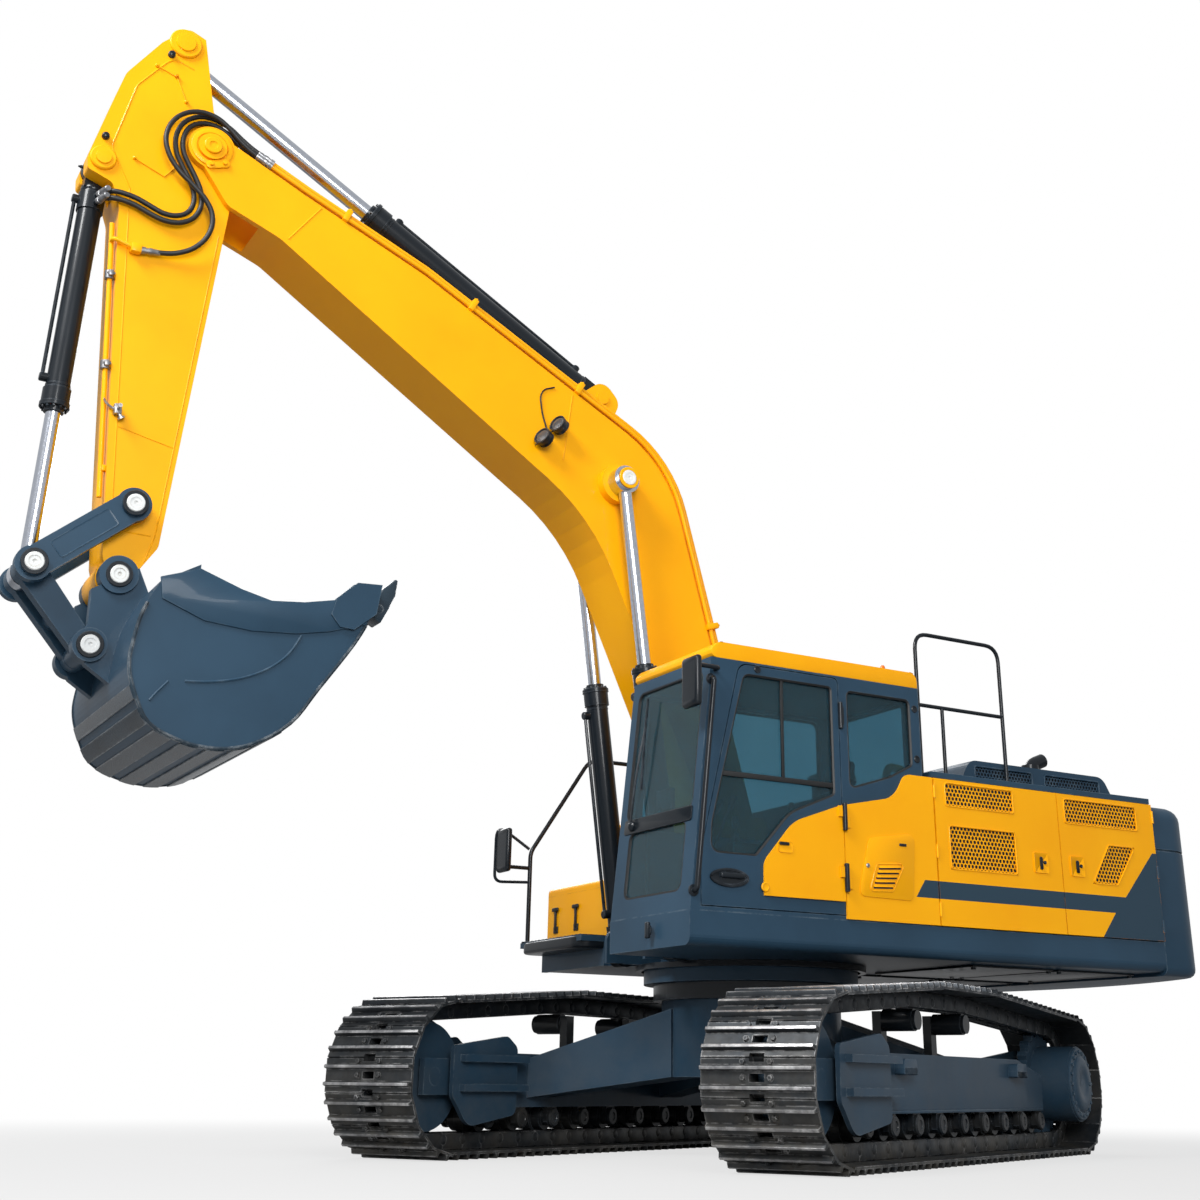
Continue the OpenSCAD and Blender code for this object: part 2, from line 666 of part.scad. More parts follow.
module hood() {
  z0 = bay_z1 + hood_t + seat_gap;
  z1 = bay_z1 + hood_t + hood_rise;
  color(slate) difference() {
    union() {
      along_y(hood_profile(z0, z1, 0), hood_y);
      for (side = [-1, 1])
        round_y([hood_x[1], z0 + hood_knuckle_r], hood_knuckle_r,
          span(side * hood_knuckle_share * hood_y[1], hood_knuckle_w));
    }
    along_y(hood_profile(z0 - cut, z1, hood_wall), [hood_y[0] + hood_wall, hood_y[1] - hood_wall]);
    for (g = grille_x_shares)
      block([between(hood_x, g[0]), between(hood_x, g[1])], [hood_y[1] - hood_wall - cut, hood_y[1] + cut],
        [z0 + grille_z_shares[0] * hood_rise, z0 + grille_z_shares[1] * hood_rise]);
  }
}
stack_x = -2420;
stack_y = 480;
stack_r = 70;
stack_h = 190;
stack_bore = 60;
module exhaust_stack() {
  color(black) translate([stack_x, stack_y, bay_z1 + hood_t + hood_rise]) difference() {
    cylinder(r = stack_r, h = stack_h);
    translate([0, 0, stack_h / 3]) cylinder(r = stack_bore, h = stack_h);
  }
}

// Yellow panel behind the cab door, on the left wall
panel_gap = 6;
door_rear_x = 243;
panel_z0 = 1550;
side_z = [deck_z1 + panel_gap, bay_z1 - panel_gap];
module side_panel_left() {
  h = side_z[1] - side_z[0];
  color(yellow) union() {
    along_y(outline([
      [door_rear_x - panel_gap, side_z[0]], [door_rear_x - panel_gap, side_z[0] + h * 0.74],
      [-0.2 * h, side_z[0] + h * 0.83, h * 0.2], [-0.3 * h, side_z[1], h * 0.08],
      [bay_front_x + panel_gap, side_z[1]], [bay_front_x + panel_gap, side_z[0]]
    ]), [house_half_w, house_half_w + skin_t]);
    block([bay_front_x + panel_gap, cab_rear_x - panel_gap], [house_half_w - door_t, house_half_w + weld],
      side_z);
    for (z = hinge_z) knuckle(z, -1);
  }
}

// Side doors: thick panels on upright hinges, with slatted grilles.
// A grille is given by the ends of its upper and lower edges, then its height on the door
slat_n = 7;
slat_w = 8;
door_knuckle_r = 9;
door_knuckle_h = 90;
door_knuckle_shares = [0.06, 0.45, 0.86];
function between(r, s) = r[0] + s * (r[1] - r[0]);
module side_door(x, hinge_side, grilles) {
  y = [house_half_w - door_t, house_half_w + skin_t];
  color(yellow) union() {
    difference() {
      block(x, y, side_z);
      for (g = grilles)
        along_y([
          [between(x, g[2]), between(side_z, g[4])], [between(x, g[3]), between(side_z, g[4])],
          [between(x, g[1]), between(side_z, g[5])], [between(x, g[0]), between(side_z, g[5])]
        ], [y[0] - cut, y[1] + cut]);
    }
    for (g = grilles, n = [1:slat_n])
      block([between(x, min(g[0], g[2])) - weld, between(x, max(g[1], g[3])) + weld],
        [y[0] + skin_t, y[1] - skin_t],
        span(between([between(side_z, g[4]), between(side_z, g[5])], n / (slat_n + 1)), slat_w));
    for (s = door_knuckle_shares)
      translate([x[hinge_side], y[1], between(side_z, s)]) cylinder(r = door_knuckle_r, h = door_knuckle_h);
  }
}
door_front_x = [bay_mid_x + panel_gap / 2, bay_front_x - panel_gap];
door_back_x = [weight_front_x + panel_gap, bay_mid_x - panel_gap / 2];
front_grille_shares = [[0.37, 0.915, 0.37, 0.915, 0.81, 0.975], [0.37, 0.9, 0.37, 0.9, 0.38, 0.68]];
back_grille_shares = [[0.177, 0.934, 0.177, 0.934, 0.785, 0.965], [0.226, 0.503, 0.444, 0.7, 0.37, 0.662]];
module side_door_left_front() { side_door(door_front_x, 1, front_grille_shares); }
module side_door_left_rear() { side_door(door_back_x, 0, back_grille_shares); }
module side_door_right_front() { mirror([0, 1, 0]) side_door_left_front(); }
module side_door_right_rear() { mirror([0, 1, 0]) side_door_left_rear(); }

// Right front: fuel tank, tool box with its lid, step and handrail
tank_x = [-500, 380];
tank_y = [-1478, -490];
tank_z = [deck_z1, 2400];
tank_round = 60;
module fuel_tank() {
  color(yellow) along_y(outline([
    [tank_x[0], tank_z[0]], [tank_x[1], tank_z[0]], [tank_x[1], tank_z[1], tank_round],
    [tank_x[0], tank_z[1], tank_round]
  ]), tank_y);
}
box_x = [386, 900];
box_z = [deck_z1, 1800];
box_t = 25;
lid_t = 60;
lid_knuckle_r = 10;
lid_knuckle_w = 90;
lid_knuckle_shares = [0.2, 0.8];
module tool_box() {
  color(yellow) difference() {
    block(box_x, tank_y, box_z);
    block([box_x[0] + box_t, box_x[1] - box_t], [tank_y[0] + box_t, tank_y[1] - box_t],
      [box_z[0] + box_t, box_z[1] + cut]);
  }
}
module tool_box_lid() {
  x = box_x[0] + panel_gap;
  top = box_z[1] + seat_gap + lid_t;
  color(yellow) union() {
    along_y(outline([
      [x, box_z[1] + seat_gap], [box_x[1], box_z[1] + seat_gap], [box_x[1], top, lid_t * 0.6],
      [x, top, lid_knuckle_r]
    ]), tank_y);
    for (s = lid_knuckle_shares) round_y([x, top], lid_knuckle_r, span(between(tank_y, s), lid_knuckle_w));
  }
}
step_x1 = 1130;
tread_t = 40;
step_low_z = 900;
module right_step() {
  color(slate) union() {
    block([right_front_x, step_x1], tank_y, [deck_z1 - tread_t, deck_z1]);
    block([right_front_x, right_front_x + tread_t], tank_y, [deck_z0, deck_z1 - tread_t]);
  }
}
rail_r = 17;
rail_y = -1440;
rail_knee_h = 680;
rail_top_h = 500;
rail_back = 200;
rail_bend = 120;
module right_handrail() {
  color(black) tube_y(bends([
    [step_x1 - tread_t, deck_z1], [step_x1 - tread_t, deck_z1 + rail_knee_h, rail_bend],
    [tank_x[1] + rail_back, tank_z[1] + rail_top_h, rail_bend],
    [tank_x[0] + rail_back, tank_z[1] + rail_top_h, rail_bend], [tank_x[0] + rail_back, tank_z[1]]
  ]), rail_y, rail_r);
}
guard_rail_y = 1260;
guard_rail_x = [-1437, -860, -640];
guard_rail_top = 3530;
guard_rail_mid = 3000;
rail_in_r = 15;
module rear_handrail() {
  z0 = bay_z1 + hood_t;
  color(black) union() {
    tube_y(bends([[guard_rail_x[0], z0], [guard_rail_x[0], guard_rail_top, rail_bend],
      [guard_rail_x[2], guard_rail_top, rail_bend], [guard_rail_x[2], z0]]), guard_rail_y, rail_r);
    bar([[guard_rail_x[0], guard_rail_y, guard_rail_mid],
      [guard_rail_x[2], guard_rail_y, guard_rail_mid]], rail_in_r);
    bar([[guard_rail_x[1], guard_rail_y, z0], [guard_rail_x[1], guard_rail_y, guard_rail_mid]], rail_in_r);
  }
}

// Cab: hollow shell with its windows and the door opening cut
cab_front_x = 1427;
cab_lean = 164;
cab_z0 = deck_z1;
cab_y = [cab_inner_y, house_half_w];
cab_sill = 40;
function cab_x(z) = cab_front_x - cab_lean * (z - cab_z0) / (cab_top_z - cab_z0);
function cab_profile(d) = [
  [cab_rear_x + d, cab_z0 + d], [cab_x(cab_z0) - d, cab_z0 + d], [cab_x(cab_top_z) - d, cab_top_z - d],
  [cab_rear_x + d, cab_top_z - d]
];
// Door edge, front leaning, in places on the cab's left side
door_z = [1478, 3030];
door_top_x = 1040;
door_low_x = 1345;
door_knee_h = 320;
door_knee_r = 200;
door_top_r = 80;
door_rear_r = 40;
function door_outline(d) = outline([
  [door_rear_x - d, door_z[0] - d], [door_low_x + d, door_z[0] - d],
  [door_low_x + d, door_z[0] + door_knee_h, door_knee_r],
  [door_top_x + d, door_z[1] + d, door_top_r], [door_rear_x - d, door_z[1] + d, door_rear_r]
]);
// Edge between the door's yellow lower panel and its glass
swoosh_places = [[880, 1560], [880, 1770, 120], [640, 2040, 300]];
swoosh_top_z = 2180;
swoosh = concat(swoosh_places, [[door_rear_x, swoosh_top_z], [door_rear_x, swoosh_places[0][1]]]);
// Window outlines, corner radius third
door_window_places = [
  [293, 2970, 30], [1010, 2970, 60], [1270, 1980, 300], [1275, 1800, 60],
  [930, 1800, 40], [660, 2090, 300], [293, 2240, 40]
];
quarter_window_places = [[170, 2960, 40], [-380, 2960, 40], [-380, 2500, 40], [-180, 2400, 60],
  [170, 2290, 40]];
front_low = [[620, 1570, 60], [1340, 1570, 60], [1340, 2010, 60], [620, 2010, 60]];
front_high = [[560, 2080, 60], [1400, 2080, 60], [1400, 2970, 60], [560, 2970, 60]];
rear_window = [[600, 2250, 60], [1360, 2250, 60], [1360, 2960, 60], [600, 2960, 60]];
right_window = [[-300, 2050, 60], [1230, 2050, 60], [1170, 2960, 60], [-300, 2960, 60]];
door_window = outline(door_window_places);
quarter_window = outline(quarter_window_places);
module cab_frame() {
  color(slate) difference() {
    along_y(cab_profile(0), cab_y);
    along_y(cab_profile(cab_wall), [cab_y[0] + cab_wall, cab_y[1] - cab_wall]);
    along_y(door_outline(panel_gap), [cab_y[1] - cab_wall - cut, cab_y[1] + cut]);
    along_y(quarter_window, [cab_y[1] - cab_wall - cut, cab_y[1] + cut]);
    along_y(outline(right_window), [cab_y[0] - cut, cab_y[0] + cab_wall + cut]);
    for (w = [front_low, front_high])
      along_x(outline(w), [cab_x(cab_top_z) - cab_wall - cut, cab_front_x + cut]);
    along_x(outline(rear_window), [cab_rear_x - cut, cab_rear_x + cab_wall + cut]);
  }
}
roof_t = 110;
roof_over = 60;
roof_rounds = [40, 70, 60];
module cab_roof() {
  color(yellow) along_y(outline([
    [cab_rear_x, cab_top_z], [cab_x(cab_top_z) + roof_over, cab_top_z, roof_rounds[0]],
    [cab_x(cab_top_z) - roof_over, cab_top_z + roof_t, roof_rounds[1]],
    [cab_rear_x, cab_top_z + roof_t, roof_rounds[2]]
  ]), cab_y);
}
pane_t = 8;
pane_in = 24;
module front_pane(w) {
  z = [w[0][1], w[2][1]];
  intersection() {
    along_y([[cab_x(z[0]) - pane_in, z[0]], [cab_x(z[0]) - pane_in + pane_t, z[0]],
      [cab_x(z[1]) - pane_in + pane_t, z[1]], [cab_x(z[1]) - pane_in, z[1]]], cab_y);
    along_x(outline(w), [0, deck_front_x]);
  }
}
module cab_glass() {
  color(glass_tint) {
    front_pane(front_low);
    front_pane(front_high);
    along_y(quarter_window, [cab_y[1] - pane_in - pane_t, cab_y[1] - pane_in]);
    along_y(outline(right_window), [cab_y[0] + pane_in, cab_y[0] + pane_in + pane_t]);
    along_x(outline(rear_window), [cab_rear_x + pane_in, cab_rear_x + pane_in + pane_t]);
  }
}
module cab_door() {
  color(slate) difference() {
    along_y(door_outline(0), [cab_y[1] - cab_wall, cab_y[1]]);
    along_y(door_window, [cab_y[1] - cab_wall - cut, cab_y[1] + cut]);
  }
}
hinge_x = door_rear_x - panel_gap / 2;
hinge_r = 15;
hinge_y = house_half_w + skin_t + hinge_r;
hinge_h = 70;
hinge_z = [1640, 2030];
hinge_leaf = 46;
module knuckle(z, side) {
  translate([hinge_x, hinge_y, z]) cylinder(r = hinge_r, h = hinge_h);
  block(side > 0 ? [hinge_x, hinge_x + hinge_leaf] : [hinge_x - hinge_leaf, hinge_x],
    [house_half_w + skin_t, hinge_y], [z, z + hinge_h]);
}
module cab_door_panel() {
  color(yellow) union() {
    along_y(outline(swoosh), [cab_y[1], cab_y[1] + skin_t]);
    for (z = hinge_z) knuckle(z + hinge_h + seat_gap, 1);
  }
}
module cab_door_glass() {
  color(glass_tint) along_y(door_window, [cab_y[1] - pane_in - pane_t, cab_y[1] - pane_in]);
}
seat_x = 180;
seat_y = 980;
seat_w = 500;
seat_z = 1880;
cab_floor_z = cab_z0 + cab_wall;
// Seat outlines beside the point at the middle of the cushion's top
seat_post = [380, 360];
seat_post_drop = 120;
cushion_places = [[-260, -130, 30], [300, -130, 50], [300, 20, 60], [-260, 0, 40]];
backrest_places = [[-250, -40, 30], [-110, -40, 30], [-260, 720, 40], [-380, 720, 40]];
module operator_seat() {
  color(black) union() {
    block(span(seat_x, seat_post[0]), span(seat_y, seat_post[1]), [cab_floor_z, seat_z - seat_post_drop]);
    for (part = [cushion_places, backrest_places])
      along_y(outline(moved(part, [seat_x, seat_z])), span(seat_y, seat_w));
  }
}
console_x = [30, 600];
console_out = 90;
console_w = 120;
console_rise = 130;
lever_x = 540;
lever_r = 28;
lever_h = 190;
module control_consoles() {
  color(black) for (side = [-1, 1]) union() {
    y = seat_y + side * (seat_w / 2 + console_out);
    block(console_x, span(y, console_w), [cab_floor_z, seat_z + console_rise]);
    translate([lever_x, y, seat_z + console_rise - weld]) cylinder(r = lever_r, h = lever_h);
  }
}
grab_z = [1560, 2900];
grab_out = 45;
grab_in = 10;
module cab_grab_rail() {
  y = house_half_w + grab_out;
  x = [for (z = grab_z) cab_x(z) - grab_in];
  color(black) bar([
    [x[0], house_half_w, grab_z[0]], [x[0], y, grab_z[0]],
    [x[1], y, grab_z[1]], [x[1], house_half_w, grab_z[1]]
  ], rail_r);
}
mirror_w = 190;
mirror_h = 330;
mirror_t = 45;
mirror_reach = 190;
mirror_drop = 120;
right_mirror_h = 560;
right_mirror_z = deck_z1 + right_mirror_h;
left_mirror_z = 2965;
left_mirror_out = 60;
module mirrors() {
  color(black) {
    union() {
      x = step_x1 - tread_t + rail_r;
      bar([[x, rail_y, right_mirror_z], [x + mirror_reach, rail_y, right_mirror_z]], rail_r);
      block([x + mirror_reach - weld, x + mirror_reach + mirror_t], span(rail_y, mirror_w),
        span(right_mirror_z + mirror_drop, mirror_h));
    }
    union() {
      x = cab_x(left_mirror_z) - 2 * rail_r;
      y = house_half_w + left_mirror_out;
      bar([[x, house_half_w, left_mirror_z], [x, y, left_mirror_z], [x + mirror_reach, y, left_mirror_z]],
        rail_r);
      block([x + mirror_reach - weld, x + mirror_reach + mirror_t], span(y, mirror_w),
        span(left_mirror_z - mirror_drop, mirror_h));
    }
  }
}

// Boom: box with a bent crown, profile in shares of its length and rise
module in_boom() { translate([foot_x, 0, foot_z]) rotate([0, -boom_angle, 0]) children(); }
function boom_place(p) = foot + turn(p, boom_angle);
boom_shares = [
  [-0.015, 0.09], [0.4186, 1, 0.149], [0.7609, 0.5126, 0.2], [0.906, 0.245], [0.983, 0.114], [1.012, 0.06],
  [1.012, -0.075], [0.936, -0.109, 0.02], [0.878, 0.006, 0.05], [0.4256, 0.469, 0.233], [0, -0.09]
];
nose_r = 165;
foot_r = 180;
nose_slot_x_share = 0.9;
nose_slot_w = arm_w + 2 * run_gap;
nose_pin_r = 62;
pin_cap_r = 100;
pin_cap_t = 26;
nose = [boom_length, 0];
knee_share = [0.436, 0.682];
knee = [knee_share[0] * boom_length, knee_share[1] * boom_rise];
knee_r = 150;
ear_t = 44;
arm_ram_base_share = [0.527, 0.985];
arm_ram_base = [arm_ram_base_share[0] * boom_length, arm_ram_base_share[1] * boom_rise];
arm_ram_eye_w = 130;
arm_ram_pin_r = 50;
module boom() {
  ear_y = arm_ram_eye_w / 2 + seat_gap;
  ear_r = 2.2 * arm_ram_pin_r;
  color(yellow) in_boom() union() {
    difference() {
      union() {
        along_y(outline(placed(boom_shares, boom_length, boom_rise)), span(0, boom_w));
        round_y([0, 0], foot_r, span(0, boom_w));
        round_y(nose, nose_r, span(0, boom_w));
      }
      // Slot for the arm
      block([boom_length * nose_slot_x_share, boom_length + 2 * nose_r], span(0, nose_slot_w),
        [-boom_rise, boom_rise]);
    }
    round_y(nose, nose_pin_r, span(0, boom_w + 2 * pin_cap_t));
    round_y([0, 0], foot_pin_r, [-cheek_y[1] - pin_cap_t, cheek_y[1] + pin_cap_t]);
    both_sides() {
      round_y(nose, pin_cap_r, [boom_w / 2 - weld, boom_w / 2 + pin_cap_t]);
      round_y(knee, knee_r, [boom_w / 2 - weld, ram_y - ram_eye_w / 2 - seat_gap]);
      // Ears of the arm cylinder
      along_y(outline([
        arm_ram_base + [-2.4 * ear_r, -2 * ear_r],
        concat(arm_ram_base + [-ear_r, ear_r], [ear_r * 0.9]),
        concat(arm_ram_base + [ear_r, ear_r], [ear_r * 0.9]),
        arm_ram_base + [1.3 * ear_r, -3 * ear_r]
      ]), [ear_y, ear_y + ear_t]);
    }
    round_y(arm_ram_base, arm_ram_pin_r, span(0, 2 * ear_y + 2 * ear_t + pin_cap_t));
  }
}
// Hoses from the boom to the arm's pipe and to the bucket cylinder, as places along each
hose_r = 18;
hose_pipe = [
  [4205, 250, 6503], [4265, 250, 6530], [4340, 251, 6568], [4420, 254, 6622], [4500, 258, 6690],
  [4590, 262, 6742], [4690, 266, 6755], [4790, 270, 6725], [4870, 276, 6655], [4920, 284, 6555],
  [4930, 288, 6445], [4890, 290, 6330], [4815, 290, 6235], [4720, 290, 6160], [4625, 290, 6080],
  [4560, 288, 5985], [4545, 284, 5875], [4580, 272, 5765], [4655, 256, 5680], [4755, 236, 5630],
  [4855, 224, 5611], [4930, 220, 5604], [4975, 220, 5600]
];
hose_lower = [
  [4205, 213, 6503], [4265, 213, 6530], [4340, 213, 6568], [4420, 213, 6618], [4505, 214, 6675],
  [4600, 217, 6703], [4695, 222, 6690], [4770, 228, 6630], [4803, 232, 6535], [4793, 234, 6430],
  [4745, 236, 6335], [4685, 236, 6240], [4637, 236, 6140], [4625, 236, 6030], [4665, 236, 5930],
  [4750, 236, 5868], [4860, 234, 5857], [4965, 230, 5885], [5055, 227, 5918], [5138, 225, 5932],
  [5198, 213, 5937], [5247, 177, 5938], [5273, 133, 5938], [5278, 114, 5938]
];
hose_upper = [
  [4185, 213, 6549], [4245, 213, 6576], [4320, 213, 6613], [4400, 213, 6662], [4490, 214, 6722],
  [4600, 217, 6755], [4715, 222, 6738], [4808, 228, 6662], [4853, 232, 6545], [4840, 234, 6410],
  [4788, 236, 6308], [4730, 236, 6220], [4688, 236, 6130], [4678, 236, 6040], [4708, 236, 5962],
  [4775, 236, 5916], [4865, 234, 5908], [4960, 230, 5940], [5050, 227, 5972], [5138, 225, 5986],
  [5198, 213, 5990], [5247, 177, 5990], [5273, 133, 5990], [5278, 114, 5990]
];
hoses = [hose_pipe, hose_lower, hose_upper];
function last(list) = list[len(list) - 1];
function flat(p) = [p[0], p[2]];
module arm_hose_pipe() { color(black) hose(hose_pipe, hose_r); }
module arm_hose_lower() { color(black) hose(hose_lower, hose_r); }
module arm_hose_upper() { color(black) hose(hose_upper, hose_r); }

// Pipes on the boom's left edge: each ends where its hose starts
pipe_r = 17;
pipe_lift = 30;
pipe_stack = 50;
pipe_lifts = [pipe_lift, pipe_lift, pipe_lift + pipe_stack];
pipe_start_share = 0.2;
boom_corners = placed(boom_shares, boom_length, boom_rise);
// Point on the boom's top line, rear or front of the crown, at a share of the length
function boom_top(s) = let (p = boom_corners, i = s < boom_shares[1][0] ? 0 : s < boom_shares[2][0] ? 1 : 2)
  let (a = p[i], b = p[i + 1], t = (s * boom_length - a[0]) / (b[0] - a[0]))
  [a[0] + t * (b[0] - a[0]), a[1] + t * (b[1] - a[1])];
pipe_line = concat(
  [boom_top(pipe_start_share)],
  corner(boom_corners[0], boom_corners[1], boom_corners[2], boom_corners[1][2]),
  [for (i = [2, 3]) [boom_corners[i][0], boom_corners[i][1]]]);
function pipe_run(i) = concat(beside(pipe_line, pipe_lifts[i]),
  [turn(flat(hoses[i][0]) - foot, -boom_angle) - [seat_gap, 0]]);
clamp_shares = [0.24, 0.55, 0.7, 0.86];
clamp_w = 40;
module boom_pipes() {
  y = [for (h = hoses) h[0][1]];
  color(yellow) in_boom() union() {
    for (i = [0:len(hoses) - 1]) tube_y(pipe_run(i), y[i], pipe_r);
    for (s = clamp_shares) {
      p = boom_top(s);
      a = heading(p, boom_top(s + clamp_w / boom_length / 2));
      translate([p[0], 0, p[1]]) rotate([0, -a, 0])
        block(span(0, clamp_w), [min(y) - pipe_r - weld, max(y) + weld],
          [seat_gap, max(pipe_lifts) + weld]);
    }
  }
}
lamp_shares = [[0.531, 0.6], [0.53, 0.49]];
lamp_w = 110;
lamp_d = 90;
module boom_lamps() {
  color(black) in_boom() both_sides() for (s = lamp_shares)
    block(span(s[0] * boom_length, lamp_d), [boom_w / 2, boom_w / 2 + lamp_w],
      span(s[1] * boom_rise, lamp_w));
}

// Cylinder barrel and rod between two pins, at a distance from the middle plane
module between_pins(p, q, y) {
  translate([p[0], y, p[1]]) rotate([0, -heading(p, q), 0]) children();
}
// The neck between eye and tube is as narrow as the eye
neck_share = 1.7;
neck_h_share = 0.75;
rod_share = 0.62;
gland_share = 1.16;
module barrel(p, q, y, r, length, eye_r, eye_w, bore_r, collar) {
  tube_at = eye_r * neck_share;
  color(black) between_pins(p, q, y) difference() {
    union() {
      round_y([0, 0], eye_r, span(0, eye_w));
      block([0, tube_at + weld], span(0, eye_w), span(0, 2 * neck_h_share * eye_r));
      rotate([0, 90, 0]) translate([0, 0, tube_at]) cylinder(r = r, h = length - tube_at);
      rotate([0, 90, 0]) translate([0, 0, length - collar]) cylinder(r = r * gland_share, h = collar);
    }
    round_y([0, 0], bore_r + pin_clear, span(0, 2 * eye_w));
    rotate([0, 90, 0]) translate([0, 0, tube_at + 2 * weld]) cylinder(r = r * rod_share + pin_clear,
      h = length);
  }
}
// The rod starts inside the barrel's mouth, its eye stands round the far pin
module rod(p, q, y, r, length, eye_r, eye_w, collar) {
  full = norm(q - p);
  color(steel) between_pins(p, q, y) union() {
    rotate([0, 90, 0]) translate([0, 0, length - collar * 2 + run_gap])
      cylinder(r = r * rod_share, h = full - length + collar * 2 - run_gap);
    round_y([full, 0], eye_r, span(0, eye_w));
  }
}
knee_at = boom_place(knee);
ram_length = 1900;
ram_collar = 130;
ram_cap_r = 85;
module boom_cylinder_barrel_left() {
  barrel(ram, knee_at, ram_y, ram_r, ram_length, ram_eye_r, ram_eye_w, ram_pin_r, ram_collar);
}
module boom_cylinder_rod_left() {
  rod(ram, knee_at, ram_y, ram_r, ram_length, ram_eye_r, ram_eye_w, ram_collar);
  color(steel) round_y(knee_at, ram_cap_r, [ram_y, ram_y + ram_eye_w / 2 + pin_cap_t]);
}
module boom_cylinder_barrel_right() { mirror([0, 1, 0]) boom_cylinder_barrel_left(); }
module boom_cylinder_rod_right() { mirror([0, 1, 0]) boom_cylinder_rod_left(); }

// Arm: head with the cylinder ears, pivot, tapering box down to the bucket pin
arm_at = boom_place(nose);
module in_arm() { translate([arm_at[0], 0, arm_at[1]]) rotate([0, -arm_angle, 0]) children(); }
function arm_place(p) = arm_at + turn(p, arm_angle);
arm_depth = 775;
arm_shares = [
  [-0.277, 0.25], [-0.29, 0.42, 0.02], [-0.23, 0.62, 0.03], [-0.12, 0.86, 0.06], [0.11, 1, 0.02],
  [0.138, 0.98, 0.01],
  [0.153, 0.75, 0.02], [0.2, 0.655, 0.06], [0.96, 0.14, 0.02], [0.985, 0.1], [0.985, -0.14],
  [0.92, -0.28, 0.03],
  [0.1, -0.28, 0.05], [-0.02, -0.26, 0.05], [-0.1, 0.04]
];
arm_head_share = [-0.246, 0.42];
arm_head = [arm_head_share[0] * arm_length, arm_head_share[1] * arm_depth];
dig_base_share = [0.105, 0.875];
dig_base = [dig_base_share[0] * arm_length, dig_base_share[1] * arm_depth];
rocker_base_share = [0.853, -0.0];
rocker_base = [rocker_base_share[0] * arm_length, rocker_base_share[1] * arm_depth];
arm_tip = [arm_length, 0];
arm_tip_r = 125;
arm_boss_r = 215;
bucket_pin_r = 50;
rocker_pin_r = 45;
slot_w = 150;
dig_eye_w = 120;
dig_pin_r = 45;
module arm() {
  color(yellow) in_arm() union() {
    difference() {
      union() {
        along_y(outline(placed(arm_shares, arm_length, arm_depth)), span(0, arm_w));
        round_y([0, 0], arm_boss_r, span(0, arm_w));
        round_y(arm_tip, arm_tip_r, span(0, arm_w - 2 * run_gap));
      }
      round_y([0, 0], nose_pin_r + pin_clear, span(0, 2 * arm_w));
      round_y(arm_tip, bucket_pin_r + pin_clear, span(0, 2 * arm_w));
      round_y(rocker_base, rocker_pin_r + pin_clear, span(0, 2 * arm_w));
      // Slots for the eyes of the arm cylinder and the bucket cylinder
      block([-arm_length, arm_head[0] + 0.11 * arm_length], span(0, slot_w), [-arm_depth, 2 * arm_depth]);
      block([dig_base[0] - 0.06 * arm_length, arm_length], span(0, dig_eye_w + 2 * seat_gap),
        [dig_base[1] - 0.17 * arm_depth, 2 * arm_depth]);
    }
    round_y(dig_base, dig_pin_r, span(0, arm_w));
  }
}
// Pipe on the arm's front edge, with a branch to the fitting of its hose on the left face
arm_pipe_y = 150;
arm_pipe_shares = [0.24, 0.84];
arm_clamp_shares = [0.36, 0.56, 0.78];
fitting_w = 64;
fitting_l = 70;
function arm_front(s) =
  let (a = arm_shares[7], b = arm_shares[8], t = (s - a[0]) / (b[0] - a[0]))
  [s * arm_length, (a[1] + t * (b[1] - a[1])) * arm_depth];
module arm_pipes() {
  a = heading(arm_front(0), arm_front(1));
  p = arm_front(arm_pipe_shares[0]);
  l = norm(arm_front(arm_pipe_shares[1]) - p);
  y = last(hose_pipe)[1];
  end = turn(flat(last(hose_pipe)) - arm_place(p), -arm_angle - a);
  color(yellow) in_arm() translate([p[0], 0, p[1]]) rotate([0, -a, 0]) union() {
    bar([[0, arm_pipe_y, pipe_lift], [l, arm_pipe_y, pipe_lift]], pipe_r);
    bar([[end[0], y, end[1] + fitting_l / 2], [end[0], y, pipe_lift], [end[0], arm_pipe_y, pipe_lift]],
      pipe_in_r);
    block(span(end[0], fitting_w), [arm_w / 2 + seat_gap, y + fitting_w / 2],
      [end[1] + seat_gap, end[1] + fitting_l]);
    for (s = arm_clamp_shares)
      block(span(norm(arm_front(s) - p), clamp_w), span(arm_pipe_y, clamp_w),
        [seat_gap, pipe_lift + pipe_r / 2]);
  }
}
pipe_in_r = 15;
arm_ram_at = boom_place(arm_ram_base);
arm_head_at = arm_place(arm_head);
arm_ram_r = 98;
arm_ram_length = 2240;
arm_ram_eye_r = 115;
arm_rod_eye_w = slot_w - 2 * run_gap;
module arm_cylinder_barrel() {
  barrel(arm_ram_at, arm_head_at, 0, arm_ram_r, arm_ram_length, arm_ram_eye_r, arm_ram_eye_w,
    arm_ram_pin_r, ram_collar);
}
module arm_cylinder_rod() {
  rod(arm_ram_at, arm_head_at, 0, arm_ram_r, arm_ram_length, arm_ram_eye_r, arm_rod_eye_w, ram_collar);
}

